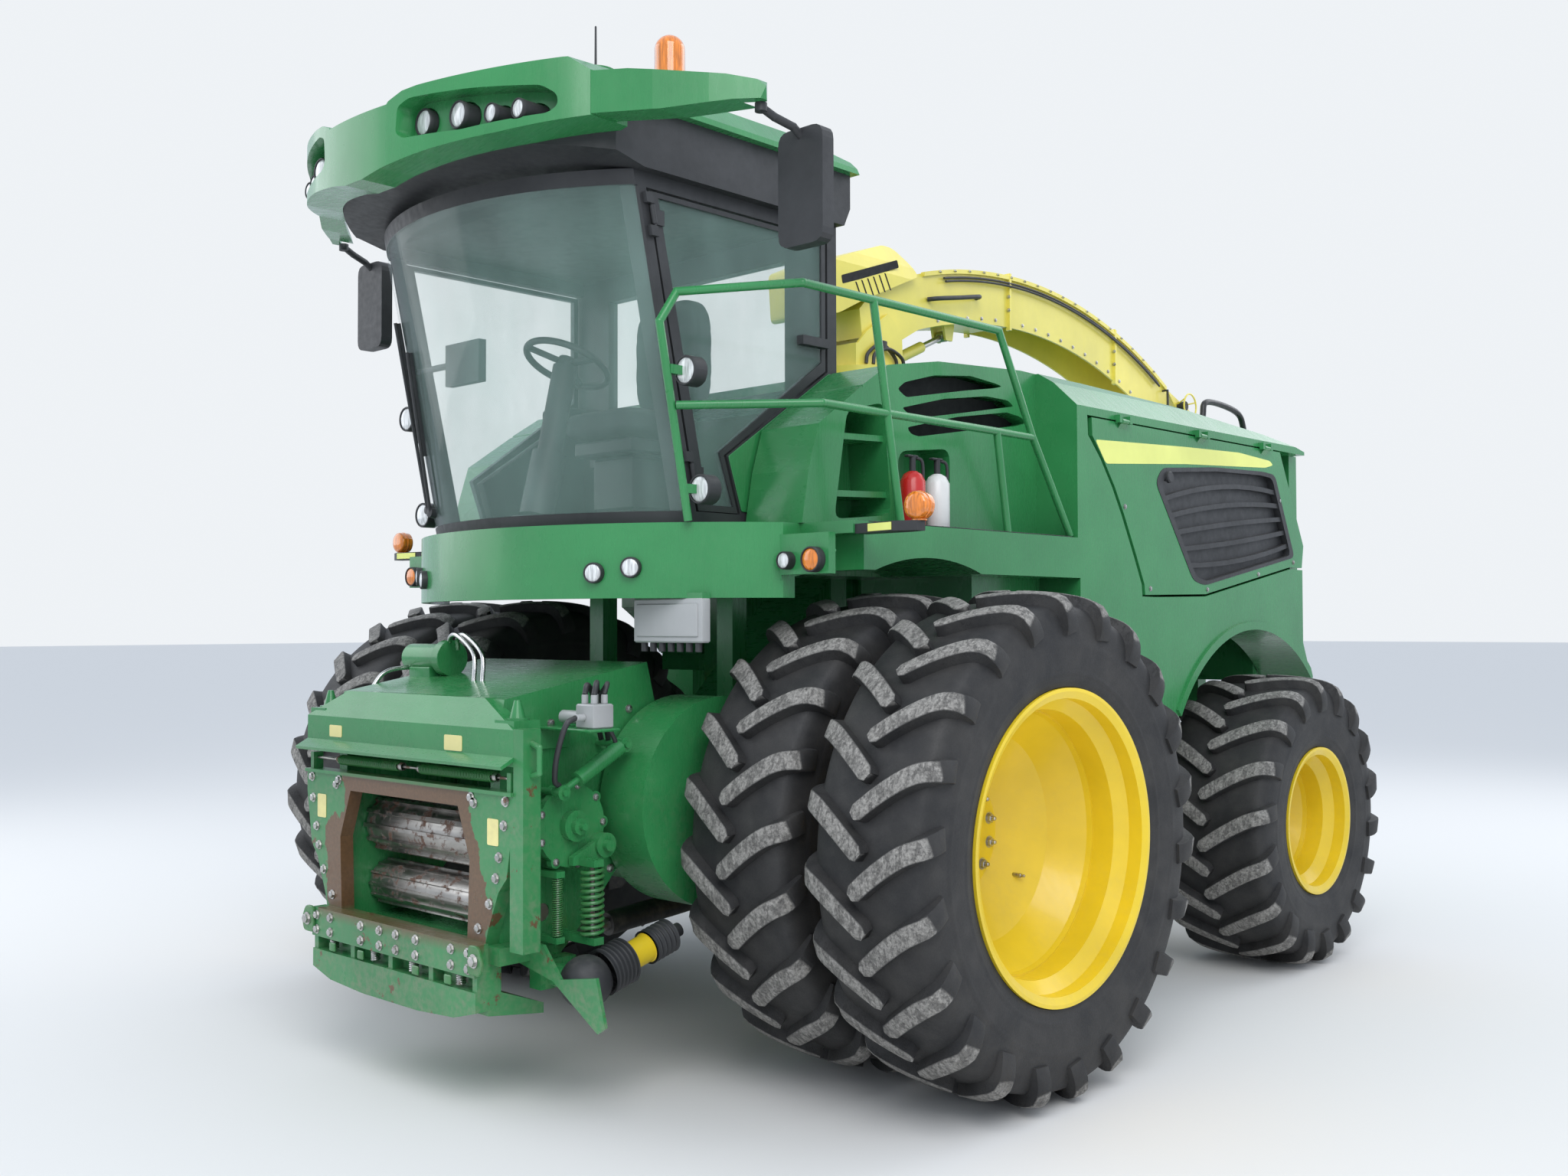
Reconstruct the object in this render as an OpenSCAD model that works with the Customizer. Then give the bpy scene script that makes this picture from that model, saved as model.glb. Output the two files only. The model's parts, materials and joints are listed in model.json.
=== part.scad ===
// Self-propelled forage harvester with dual front wheels.
// Millimetres, +Z up, -Y forward, +X to the machine's left, wheels on z = 0.
// Every y below is counted from the front axle and moved to the centre of the length last.

/* [Stance] */
// Distance between the front and the rear axle
wheelbase = 2930; // [2800:10:3100]
// Half the width over the bodywork
body_half_w = 1450; // [1440:5:1480]
// Height of the cab platform
platform_z = 2250; // [2230:5:2270]

/* [Front wheels] */
// Diameter over the lugs of the front tyres
front_tyre_d = 1977; // [1940:1:1990]
// Width of each front tyre
front_tyre_w = 520; // [480:5:540]
// Diameter of the front rim flange
front_rim_d = 1218; // [1160:2:1240]
// Clear gap between the two tyres of a pair
dual_gap = 135; // [100:5:160]
// Inner side of the inner front tyre, from the middle of the machine
front_tyre_in = 948; // [940:2:980]
// Number of lugs on one side of a front tyre
front_lugs = 22; // [18:1:26]

/* [Rear wheels] */
// Diameter over the lugs of the rear tyres
rear_tyre_d = 1560; // [1500:1:1580]
// Width of each rear tyre
rear_tyre_w = 620; // [560:5:640]
// Diameter of the rear rim flange
rear_rim_d = 788; // [740:2:820]
// Middle of the rear tyre, from the middle of the machine
rear_track_half = 1530; // [1500:5:1560]
// Number of lugs on one side of a rear tyre
rear_lugs = 18; // [14:1:22]
// Kingpin, from the middle of the machine
kingpin_x = 1130; // [1100:5:1150]

/* [Tyre section] */
// Height of the lugs
lug_h = 46; // [30:1:60]
// Width of a lug
lug_w = 62; // [40:1:80]
// Slope of the lugs from the rolling direction
lug_angle = 48; // [40:1:55]

/* [Cab] */
// Half width of the cab over the pillars
cab_half_w = 880; // [850:5:900]
// Height of the windshield's top edge
cab_top_z = 3620; // [3580:5:3640]
// Radius of the curved windshield, seen from above
windshield_r = 1425; // [1400:5:1500]
// Forward lean of the windshield
windshield_lean = 12; // [8:0.5:14]
// Rear face of the cab
cab_rear_y = 60; // [40:5:80]
// Thickness of the cab's frame
cab_wall = 60; // [50:1:70]
// Thickness of the glass
glass_t = 12; // [8:1:16]
// Height of the roof's crown
roof_top_z = 4010; // [3980:5:4040]

/* [Fascia] */
// Radius of the fascia band, seen from above
fascia_r = 1515; // [1500:5:1560]
// Centre of that arc behind the front axle
fascia_cy = 295; // [285:5:305]
// Lower edge of the fascia band
fascia_low_z = 1950; // [1930:5:1970]

/* [Body] */
// Front of the side bodies
body_front_y = -430; // [-450:5:-400]
// Rear end of the bodywork
body_rear_y = 3720; // [3700:5:3760]
// Radius of the front wheel arches
front_arch_r = 1130; // [1110:5:1150]
// Radius of the rear wheel arches
rear_arch_r = 1030; // [1020:5:1050]
// Height of the hood's crown
hood_z = 3075; // [3050:5:3100]
// Height of the line where the hood meets the sides
belt_z = 2840; // [2820:5:2860]
// Thickness of the opening side panels
panel_t = 60; // [50:5:70]
// Gap round the opening side panels
panel_gap = 8; // [6:1:12]

/* [Feed housing] */
// Half width of the front frame plate
plate_half_w = 745; // [730:5:760]
// Front face of the front frame plate
plate_y = -1600; // [-1620:5:-1590]
// Thickness of the front frame plate
plate_t = 60; // [50:5:70]
// Half width of the feed opening
throat_half_w = 400; // [380:5:420]
// Height of the cutterhead shaft, about which the feeder lifts
lift_z = 1120; // [1100:5:1140]
// Cutterhead shaft, from the front axle
lift_y = -640; // [-660:5:-620]
// Diameter of the upper feed roll over its teeth
upper_roll_d = 250; // [230:5:270]
// Diameter of the lower feed roll
lower_roll_d = 200; // [180:5:210]

/* [Spout] */
// Turning axis of the spout
turret_y = 1230; // [1200:5:1260]
// Height of the turret's bearing ring
turret_z = 3150; // [3130:5:3170]
// Radius of the spout's outer curve
spout_r = 3700; // [3600:10:3800]
// Height of the spout's crown
spout_top_z = 3920; // [3910:5:3930]
// Depth of the spout's box section
spout_h = 300; // [280:5:320]
// Width of the spout's box section
spout_w = 300; // [280:5:320]
// Thickness of the spout's walls
duct_wall = 12; // [8:1:16]

/* [Clearances] */
// Running gap between a shaft and its bearing
run_gap = 0.3; // [0.2:0.05:0.5]
// Gap between pieces that move past each other
move_gap = 8; // [6:1:12]
// Gap between a piece and the seat that it is fastened to
seat_gap = 0.3; // [0.2:0.05:0.5]

/* [Hidden] */

green = "#1f7a3a";
yellow = "#f2d21c";
black = "#222428";
steel = "#9a9c9e";
$fn = 64;

front_z = front_tyre_d / 2;
rear_z = rear_tyre_d / 2;
outer_tyre_in = front_tyre_in + front_tyre_w + dual_gap;
spout_end_y = 5080;
roof_front_y = -1850;
shift_y = -(spout_end_y + roof_front_y) / 2;
feeder_front_y = plate_y - 60;

// Moves a piece from axle coordinates to the part's own origin.
module place() translate([0, shift_y, 0]) children();

// The other side of the machine.
module other_side() mirror([1, 0, 0]) children();

module both_sides() {
    children();
    mirror([1, 0, 0]) children();
}

// Plate with an outline in (y, z), standing across x from x0 to x0 + t.
module side_plate(points, x0, t)
    translate([x0, 0, 0]) rotate([90, 0, 90]) linear_extrude(t) polygon(points);

// Plate with an outline in (x, y), lying from z0 to z0 + t.
module plan_plate(points, z0, t)
    translate([0, 0, z0]) linear_extrude(t) polygon(points);

// Plate with an outline in (x, z), standing from y0 to y0 + t.
module cross_plate(points, y0, t)
    translate([0, y0 + t, 0]) rotate([90, 0, 0]) linear_extrude(t) polygon(points);

// Round bar between two points.
module bar(p, q, d) {
    v = q - p;
    l = norm(v);
    translate(p) rotate([0, acos(v.z / l), atan2(v.y, v.x)]) cylinder(d = d, h = l);
}

// Bent tube through a list of points.
module tube(points, d) {
    $fn = 32;
    for (i = [0 : len(points) - 2]) bar(points[i], points[i + 1], d);
    if (len(points) > 2)
        for (i = [1 : len(points) - 2]) translate(points[i]) sphere(d = d + 1);
}

// Cylinder along x from x0 to x1.
module shaft(x0, x1, y, z, d)
    translate([x0, y, z]) rotate([0, 90, 0]) cylinder(d = d, h = x1 - x0);

module block(x0, x1, y0, y1, z0, z1)
    translate([x0, y0, z0]) cube([x1 - x0, y1 - y0, z1 - z0]);

// Outline with each corner rounded by a short curve that starts c before it.
function soft(points, c, steps = 4) = let (n = len(points)) [
    for (i = [0 : n - 1])
        let (p = points[i],
            a = p + (points[(i + n - 1) % n] - p) * c / norm(points[(i + n - 1) % n] - p),
            b = p + (points[(i + 1) % n] - p) * c / norm(points[(i + 1) % n] - p))
        for (k = [0 : steps]) let (t = k / steps) (1 - t) * (1 - t) * a + 2 * t * (1 - t) * p + t * t * b];

// Points of one half in (x, z) followed by their mirror images.
function mirrored(points) = concat(points,
    [for (i = [len(points) - 1 : -1 : 0]) [-points[i].x, points[i].y]]);

// Coil spring as a ridged round bar between two points.
module spring(p, q, d, turns) {
    v = q - p;
    l = norm(v);
    pitch = l / turns;
    translate(p) rotate([0, acos(v.z / l), atan2(v.y, v.x)]) rotate_extrude($fn = 24)
        polygon(concat([[0, 0]],
            [for (i = [0 : turns - 1]) each [[0.42 * d, i * pitch], [d / 2, (i + 0.5) * pitch]]],
            [[0.42 * d, l], [0, l]]));
}

/* Wheels */

// Half section of a tyre without lugs: two bulged sidewalls and a flat crown.
module tyre_section(d, w, rim_d) {
    bead_r = rim_d / 2 - 25;
    crown_r = d / 2 - lug_h;
    bulge = w * 0.075;
    half_h = (crown_r - bead_r) / 2;
    wall_r = (half_h * half_h + bulge * bulge) / (2 * bulge);
    intersection() {
        translate([bead_r, -w / 2]) square([2 * half_h, w]);
        translate([bead_r + half_h, wall_r - w / 2]) circle(r = wall_r);
        translate([bead_r + half_h, w / 2 - wall_r]) circle(r = wall_r);
    }
}

// One slanted lug, at the bottom of the tyre, from the centre line to the shoulder.
module lug(d, w) {
    x1 = w / 2 - 10;
    run = x1 / tan(lug_angle);
    foot = 46;
    translate([0, 0, d / 2 - lug_h - foot]) linear_extrude(lug_h + foot + 10)
        polygon([[-12, -lug_w / 2], [-12, lug_w / 2], [x1, lug_w / 2 - run], [x1, -lug_w / 2 - run]]);
}

// A tyre on the x axis, its middle at x = 0.
module tyre(d, w, rim_d, lugs) {
    pitch = 360 / lugs;
    rotate([0, 90, 0]) rotate_extrude() tyre_section(d, w, rim_d);
    intersection() {
        rotate([0, 90, 0]) cylinder(d = d, h = w, center = true);
        union() for (i = [0 : lugs - 1]) {
            rotate([i * pitch, 0, 0]) lug(d, w);
            rotate([(i + 0.5) * pitch, 0, 0]) mirror([1, 0, 0]) lug(d, w);
        }
    }
}

// Rolled rim barrel with a well, and a dished disc from the hub's plane out to the barrel.
// The hub is bored through, or closed at its outer side.
module rim(rim_d, w, hub_x, web_x, hub_r, bore_d, closed) {
    r = rim_d / 2;
    f = w * 0.45;
    t = 16;
    seat = r - 25;
    well = seat - 46;
    rim_r = well - t / 2;
    disc_t = 22;
    mid_x = (hub_x + web_x) / 2;
    mid_r = hub_r + 0.62 * (rim_r - hub_r);
    rotate([0, 90, 0]) rotate_extrude() polygon([
        [r, f], [r, f + 14], [r - 14, f + 14], [seat - t, f], [seat - t, f - 60],
        [well - t, f - 106], [well - t, 60 - f], [seat - t, 14 - f], [seat - t, -f],
        [r - 14, -f - 14], [r, -f - 14], [r, -f], [seat, -f], [seat, 20 - f],
        [well, 66 - f], [well, f - 112], [seat, f - 66], [seat, f]]);
    difference() {
        rotate([0, 90, 0]) rotate_extrude() polygon([
            [0, hub_x - 40], [hub_r - 10, hub_x - 40], [mid_r - 10, mid_x - disc_t], [rim_r, web_x - disc_t],
            [rim_r, web_x + disc_t], [rim_r - 14, web_x + disc_t], [rim_r - 20, web_x], [mid_r, mid_x],
                [hub_r, hub_x],
            [0, hub_x]]);
        translate([hub_x - 60, 0, 0]) rotate([0, 90, 0]) cylinder(d = bore_d, h = closed ? 35 : 100);
    }
}

hub_bore_front = 180;
hub_bore_rear = 120;
front_disc_out = outer_tyre_in - 3;
front_disc_in = front_tyre_in + front_tyre_w / 2 + 20;
rear_disc = rear_track_half - 60;
hub_r_front = 235;
hub_r_rear = 150;
rim_web_in = -30;
rim_web_out = 7;

module front_tyre_pair() for (x = [front_tyre_in, outer_tyre_in])
    translate([x + front_tyre_w / 2, 0, front_z]) tyre(front_tyre_d, front_tyre_w, front_rim_d, front_lugs);

module front_tyres_left() color(black) place() front_tyre_pair();
module front_tyres_right() color(black) place() other_side() front_tyre_pair();

// Both rims of a pair, joined by the hub and the spacer drum.
module front_rim_pair() {
    bore = hub_bore_front + 2 * run_gap;
    in_x = front_tyre_in + front_tyre_w / 2;
    out_x = outer_tyre_in + front_tyre_w / 2;
    translate([in_x, 0, front_z])
        rim(front_rim_d, front_tyre_w, front_disc_in - in_x, rim_web_in, hub_r_front, bore, false);
    translate([out_x, 0, front_z])
        rim(front_rim_d, front_tyre_w, front_disc_out - out_x, rim_web_out, hub_r_front, bore, true);
    difference() {
        shaft(front_disc_in - 90, front_disc_out - 20, 0, front_z, 380);
        shaft(front_disc_in - 100, front_disc_out - 25, 0, front_z, bore);
    }
}

module front_rims_left() color(yellow) place() front_rim_pair();
module front_rims_right() color(yellow) place() other_side() front_rim_pair();

module rear_tyre() translate([rear_track_half, wheelbase, rear_z])
    tyre(rear_tyre_d, rear_tyre_w, rear_rim_d, rear_lugs);

module rear_tyre_left() color(black) place() rear_tyre();
module rear_tyre_right() color(black) place() other_side() rear_tyre();

module rear_rim() {
    bore = hub_bore_rear + 2 * run_gap;
    translate([rear_track_half, wheelbase, rear_z])
        rim(rear_rim_d, rear_tyre_w, rear_disc - rear_track_half, 60, hub_r_rear, bore, false);
    difference() {
        shaft(rear_disc - 120, rear_disc + 30, wheelbase, rear_z, 230);
        shaft(rear_disc - 130, rear_disc + 10, wheelbase, rear_z, bore);
    }
}

module rear_rim_left() color(yellow) place() rear_rim();
module rear_rim_right() color(yellow) place() other_side() rear_rim();

/* Axles and frame */

rail_x = 400;
rail_w = 100;
rail_z = 1130;
rail_h = 160;
axle_d = 280;

module front_axle() color(black) place() {
    shaft(-760, 760, 0, front_z, axle_d);
    both_sides() {
        shaft(560, 900, 0, front_z, 400);
        shaft(880, front_disc_out - 40, 0, front_z, hub_bore_front);
        block(rail_x, rail_x + rail_w, -150, 150, front_z + 60, rail_z);
        for (x = [lift_x - 60, lift_x + 35])
            side_plate([[60, front_z - 100], [-120, front_z - 100], [lift_foot_y - 40, lift_foot_z + 40],
                [lift_foot_y - 40, lift_foot_z - 40], [lift_foot_y + 40, lift_foot_z - 40]], x, 25);
        shaft(lift_x - 60, lift_x + 60, lift_foot_y, lift_foot_z, eye_pin_d);
    }
}

module chassis_frame() color(green) place() {
    both_sides() {
        block(rail_x, rail_x + rail_w, -260, 3560, rail_z, rail_z + rail_h);
        for (y = [-220, 560]) block(rail_x, rail_x + rail_w, y, y + 90, rail_z + rail_h, platform_z - 60);
        for (y = [620, 1500]) block(rail_x, 900, y, y + 90, 1600, 1690);
        block(rail_x, rail_x + rail_w, 1500, 1590, rail_z + rail_h, 1690);
        block(rail_x, rail_x + rail_w, 620, 650, rail_z + rail_h, 1690);
    }
    for (y = [440, 1400, 3460]) block(-rail_x, rail_x, y, y + 100, rail_z, rail_z + rail_h);
    both_sides() block(rail_x, rail_x + rail_w, wheelbase - 180, wheelbase + 180, rear_z + yoke_h / 2, rail_z);
}

kingpin_d = 70;
yoke_h = 300;

module rear_axle() color(black) place() {
    block(-rail_x - rail_w, rail_x + rail_w, wheelbase - 100, wheelbase + 100, rear_z - 110, rear_z + 90);
    both_sides() difference() {
        union() {
            block(rail_x, kingpin_x - 120, wheelbase - 90, wheelbase + 90, rear_z - yoke_h / 2,
                rear_z + yoke_h / 2);
            for (z = [rear_z - yoke_h / 2 - 40, rear_z + yoke_h / 2 - 20]) {
                block(kingpin_x - 140, kingpin_x, wheelbase - 70, wheelbase + 70, z, z + 60);
                translate([kingpin_x, wheelbase, z]) cylinder(r = 70, h = 60);
            }
        }
        translate([kingpin_x, wheelbase, rear_z - yoke_h]) cylinder(d = kingpin_d + 2 * run_gap,
            h = 2 * yoke_h);
    }
}

module knuckle() {
    translate([kingpin_x, wheelbase, rear_z - yoke_h / 2 - 50]) cylinder(d = kingpin_d, h = yoke_h + 100);
    translate([kingpin_x, wheelbase, rear_z - yoke_h / 2 + 30]) cylinder(r = 75, h = yoke_h - 60);
    shaft(kingpin_x, rear_disc - 5, wheelbase, rear_z, hub_bore_rear);
}

module knuckle_left() color(black) place() knuckle();
module knuckle_right() color(black) place() other_side() knuckle();

module engine_block() color(black) place() block(-480, 480, 1780, 2960, rail_z + rail_h, 2150);

/* Cutter and feeder */

shield_r = 430;
drum_half_w = 480;
drum_r = 370;
shield_in = 600;
shield_out = 860;
pivot_d = 200;
turret_tube_d = 460;
chute_half_w = 180;
chute_top_z = 2860;

// Cutter housing with its round side shields and the discharge chute up to the turret.
module cutter_housing() color(green) place() {
    translate([0, lift_y, lift_z]) rotate([0, 90, 0]) rotate_extrude() polygon([
        [0, -shield_out], [shield_r, -shield_out], [shield_r, -shield_in], [pivot_d / 2, -shield_in],
        [pivot_d / 2, -drum_half_w], [drum_r, -drum_half_w], [drum_r, drum_half_w], [pivot_d / 2, drum_half_w],
        [pivot_d / 2, shield_in], [shield_r, shield_in], [shield_r, shield_out], [0, shield_out]]);
    both_sides() block(rail_x, drum_half_w - 10, lift_y + 200, -260, rail_z + 10, rail_z + rail_h - 10);
    side_plate([[-300, 1180], [300, 1180], [1400, 2200], [1400, chute_top_z], [1080, chute_top_z],
        [1080, 2350], [150, 1460], [-380, 1380]], -chute_half_w, 2 * chute_half_w);
    difference() {
        translate([0, turret_y, chute_top_z - 160]) cylinder(d = turret_tube_d,
            h = turret_z - chute_top_z + 160);
        translate([0, turret_y, chute_top_z + 30]) cylinder(d = turret_tube_d - 60, h = 600);
    }
}

roll_y = plate_y + 260;
upper_roll_z = 985;
lower_roll_z = 730;
side_in = 520;
side_t = 60;
roll_shaft_d = 70;
ledge_z = 1320;
plate_top_z = 1225;
spring_z = 1272;
cone_z = 1488;
beam_half_w = 590;

// Side wall of the feeder, from the front plate back to the cutterhead shaft.
module feeder_side() difference() {
    union() {
        side_plate([[plate_y + plate_t, 560], [plate_y + plate_t, 1440], [-1520, 1560],
            [-800, 1690], [-700, 1300], [-840, 1000], [-1100, 700], [-1250, 560]], side_in, side_t);
        shaft(side_in, side_in + side_t, lift_y, lift_z, pivot_d + 120);
    }
    shaft(side_in - 10, side_in + side_t + 10, lift_y, lift_z, pivot_d + 2 * run_gap);
    for (z = [upper_roll_z, lower_roll_z])
        shaft(side_in - 10, side_in + side_t + 10, roll_y, z, roll_shaft_d + 2 * run_gap);
}

lift_eye_y = -1150;
lift_eye_z = 545;
lift_foot_y = -250;
lift_foot_z = 620;
lift_x = 330;
eye_pin_d = 44;

module feed_housing() color(green) place() {
    both_sides() feeder_side();
    side_plate([[plate_y + plate_t, 1400], [plate_y + plate_t, 1440], [-1520, 1560], [-800, 1690],
        [-800, 1640], [-1490, 1515], [-1520, 1400]], -side_in, 2 * side_in);
    block(-side_in, side_in, plate_y + plate_t, -1250, 560, 600);
    block(-side_in, side_in, -1251, -1215, 560, 600);
    both_sides() for (x = [lift_x - 60, lift_x + 35])
        side_plate([[lift_eye_y - 90, 620], [lift_eye_y - 90, lift_eye_z - 20],
            [lift_eye_y - 30, lift_eye_z - 40],
            [lift_eye_y + 40, lift_eye_z - 40], [lift_eye_y + 40, 620]], x, 25);
    both_sides() shaft(lift_x - 60, lift_x + 60, lift_eye_y, lift_eye_z, eye_pin_d);
    // Box of the front hood, narrower at its top, with its lower ledge.
    intersection() {
        side_plate([[plate_y, ledge_z], [plate_y, 1456], [-1550, 1565], [-1500, 1565],
            [plate_y + plate_t, 1440],
            [plate_y + plate_t, ledge_z]], -plate_half_w, 2 * plate_half_w);
        cross_plate(mirrored([[plate_half_w, ledge_z], [plate_half_w, 1456], [485, 1570]]), plate_y - 1, 200);
    }
    side_plate([[plate_y + 1, ledge_z + 36], [plate_y - 58, ledge_z + 4], [plate_y - 54, ledge_z - 8],
        [plate_y + 1, ledge_z + 20]],
        -plate_half_w, 2 * plate_half_w);
    // Shelves and cones at the hood's corners.
    both_sides() {
        block(plate_half_w - 130, plate_half_w - 10, plate_y + 10, plate_y + 130, 1440, cone_z);
        translate([plate_half_w - 70, plate_y + 70, cone_z - 1]) {
            cylinder(d = 90, h = 9);
            cylinder(d1 = 66, d2 = 24, h = 75);
        }
    }
}

// Half outline of the front plate, down its outer edge and up its inner one.
plate_outer = [[plate_half_w, plate_top_z], [plate_half_w, 1130], [705, 905], [655, 850], [590, 700],
    [560, 600]];
plate_inner = [[throat_half_w - 10, 1150], [throat_half_w + 70, 950], [throat_half_w + 55, 610]];

// U-shaped plate that a header hangs on, with the beam and the skid below it.
module front_plate() color(green) place() {
    difference() {
        cross_plate(mirrored(plate_outer), plate_y, plate_t);
        cross_plate(mirrored(plate_inner), plate_y - 10, plate_t + 20);
    }
    block(-plate_half_w, plate_half_w, plate_y - 12, plate_y + plate_t, plate_top_z - 14, plate_top_z);
    both_sides() block(700, 724, plate_y + 4, plate_y + 50, plate_top_z - 2, spring_z + 24);
    // Lower beam, slotted below, and the curved skid.
    block(-beam_half_w, beam_half_w, feeder_front_y, plate_y + 1, 530, 650);
    for (x = [-beam_half_w, -300, -15, 270, beam_half_w - 30])
        block(x, x + 30, feeder_front_y + 12, plate_y + 1, 470, 531);
    cross_plate(mirrored([[beam_half_w, 475], [beam_half_w, 400], [450, 362], [200, 346]]),
        feeder_front_y + 4, 70);
    block(-beam_half_w, beam_half_w, plate_y - 1, plate_y + plate_t, 440, 640);
    side_plate([[plate_y, 460], [plate_y + plate_t, 460], [-1340, 385], [-1340, 345], [plate_y, 380]],
        -beam_half_w, 2 * beam_half_w);
    // Post with its handle on the left, and the bent plate that leads crop away from the drive.
    block(plate_half_w - 20, plate_half_w + 60, plate_y, plate_y + 80, 640, 1210);
    block(plate_half_w + seat_gap, plate_half_w + 60, plate_y, plate_y + 80, 1209, 1460);
    tube([[plate_half_w + 50, plate_y + 40, 1410], [plate_half_w + 105, plate_y + 40, 1396],
        [plate_half_w + 105, plate_y + 40, 1300], [plate_half_w + 50, plate_y + 40, 1286]], 22);
    deflector_x = side_in + side_t + seat_gap;
    cross_plate([[deflector_x, 650], [740, 645], [845, 533], [1050, 570], [1100, 400], [1058, 372],
        [800, 520], [deflector_x, 560]],
        plate_y + 140, 14);
    block(565, 660, plate_y + 1, plate_y + plate_t, 575, 640);
    block(deflector_x, 660, plate_y + plate_t - 1, plate_y + 141, 575, 640);
}

gear_y = -1280;
gear_z = 1070;
gear_r = 160;
link_x = 740;
link_low = [-1375, 1208];
link_high = [-1067, 1372];
spring_x = 780;
spring_y = -1255;
spring_low_z = 652;
spring_high_z = 920;
slim_x = 700;
slim_y = -1360;
slim_low_z = 655;
slim_high_z = 880;
guard_x = 830;
guard_y = -1325;
guard_z = 500;
guard_lean = 15;

// Gear housing with a lobed cover, the pressure cylinder, the spring arms and the drive on the left side.
module feed_gearcase() color(green) place() {
    outer = side_in + side_t;
    shaft(outer, 661, gear_y, gear_z, 2 * gear_r - 30);
    shaft(660, 688, gear_y, gear_z, 2 * gear_r);
    for (i = [0 : 8]) shaft(660, 688, gear_y + (gear_r - 6) * cos(i * 40),
        gear_z + (gear_r - 6) * sin(i * 40), 48);
    shaft(687, 722, gear_y, gear_z, 120);
    shaft(721, 746, gear_y, gear_z, 64);
    shaft(745, 770, gear_y, gear_z, 26);
    shaft(outer, 740, -1150, 985, 96);
    shaft(739, 766, -1150, 985, 44);
    side_plate([[spring_y - 50, spring_high_z], [spring_y + 50, spring_high_z], [-1115, 965], [-1110, 1010],
        [-1180, 1010],
        [spring_y - 50, spring_high_z + 32]], 700, 26);
    // Arms above and below the two upright springs.
    block(outer, spring_x + 40, spring_y - 24, spring_y + 24, spring_high_z, spring_high_z + 28);
    block(outer, spring_x + 40, spring_y - 24, spring_y + 24, spring_low_z - 28, spring_low_z);
    block(outer, slim_x + 20, slim_y - 20, slim_y + 20, slim_high_z, slim_high_z + 24);
    block(outer, slim_x + 20, slim_y - 20, slim_y + 20, slim_low_z - 24, slim_low_z);
    // Pressure cylinder between its two pins.
    for (p = [link_low, link_high]) {
        shaft(outer, link_x + 34, p.x, p.y, 26);
        shaft(link_x - 22, link_x + 22, p.x, p.y, 58);
    }
    along = (link_high - link_low) / norm(link_high - link_low);
    at_low = [link_x, link_low.x, link_low.y];
    bar(at_low + 20 * [0, along.x, along.y], at_low + 110 * [0, along.x, along.y], 26);
    bar(at_low + 90 * [0, along.x, along.y], at_low + 330 * [0, along.x, along.y], 62);
    // Drive end that the guard stands on.
    block(outer, 650, -1400, -1230, 450, 560);
    shaft(649, guard_x - 80 - seat_gap, guard_y, guard_z, 90);
}

// Upright and level tension springs of the feeder.
module feed_springs() color(green) place() {
    bar([-700 + seat_gap, plate_y + 26, spring_z], [700 - seat_gap, plate_y + 26, spring_z], 12);
    spring([-503, plate_y + 26, spring_z], [-50, plate_y + 26, spring_z], 44, 24);
    spring([110, plate_y + 26, spring_z], [592, plate_y + 26, spring_z], 44, 24);
    spring([spring_x, spring_y, spring_low_z + seat_gap], [spring_x, spring_y, spring_high_z - seat_gap],
        95, 12);
    spring([slim_x, slim_y, slim_low_z + seat_gap], [slim_x, slim_y, slim_high_z - seat_gap], 42, 18);
}

// Radius and place along the axis of the guard's outline: a ball, wide bellows, a tube, slim bellows and a neck.
guard_profile = concat(
    [for (a = [-90 : 15 : 45]) [102 * cos(a), 102 * sin(a)]],
    [for (i = [0 : 5]) each [[78, 76 + i * 20], [92, 86 + i * 20]]], [[78, 196], [56, 200], [56, 310]],
    [for (i = [0 : 4]) each [[58, 312 + i * 24], [70, 324 + i * 24]]], [[58, 432], [30, 434], [30, 490],
        [0, 490]]);

// Bellows guard over the header's drive shaft, leaning up towards the rear.
module drive_guard() color(black) place() difference() {
    translate([guard_x, guard_y, guard_z]) rotate([guard_lean - 90, 0,
        0]) rotate_extrude($fn = 32) polygon(guard_profile);
    block(guard_x - 200, guard_x - 80, guard_y - 150, guard_y + 600, guard_z - 150, guard_z + 350);
}

module upper_feed_roll() color(steel) place() {
    shaft(-side_in + 8, side_in - 8, roll_y, upper_roll_z, upper_roll_d - 30);
    shaft(-side_in - side_t + 5, side_in + side_t - 5, roll_y, upper_roll_z, roll_shaft_d);
    for (i = [0 : 11]) translate([0, roll_y, upper_roll_z]) rotate([i * 30, 0, 0])
        translate([-side_in + 8, -8, 0]) cube([2 * side_in - 16, 16, upper_roll_d / 2]);
}

module lower_feed_roll() color(steel) place() {
    shaft(-side_in + 8, side_in - 8, roll_y, lower_roll_z, lower_roll_d - 16);
    shaft(-side_in - side_t + 5, side_in + side_t - 5, roll_y, lower_roll_z, roll_shaft_d);
    for (i = [0 : 11]) translate([0, roll_y, lower_roll_z]) rotate([i * 30, 0, 0])
        translate([-side_in + 8, -5, 0]) cube([2 * side_in - 16, 10, lower_roll_d / 2]);
}

lift_v = [0, lift_eye_y - lift_foot_y, lift_eye_z - lift_foot_z];
lift_len = norm(lift_v);
lift_dir = lift_v / lift_len;
function lift_at(s) = [0, lift_foot_y, lift_foot_z] + lift_dir * s;

module lift_barrels() color(black) place() both_sides() translate([lift_x, 0, 0]) {
    difference() {
        union() {
            shaft(-25, 25, lift_foot_y, lift_foot_z, 90);
            bar(lift_at(20), lift_at(90), 60);
            bar(lift_at(64), lift_at(560), 100);
        }
        shaft(-40, 40, lift_foot_y, lift_foot_z, eye_pin_d + 2 * run_gap);
        bar(lift_at(80), lift_at(570), 56 + 2 * run_gap);
    }
}

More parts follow.
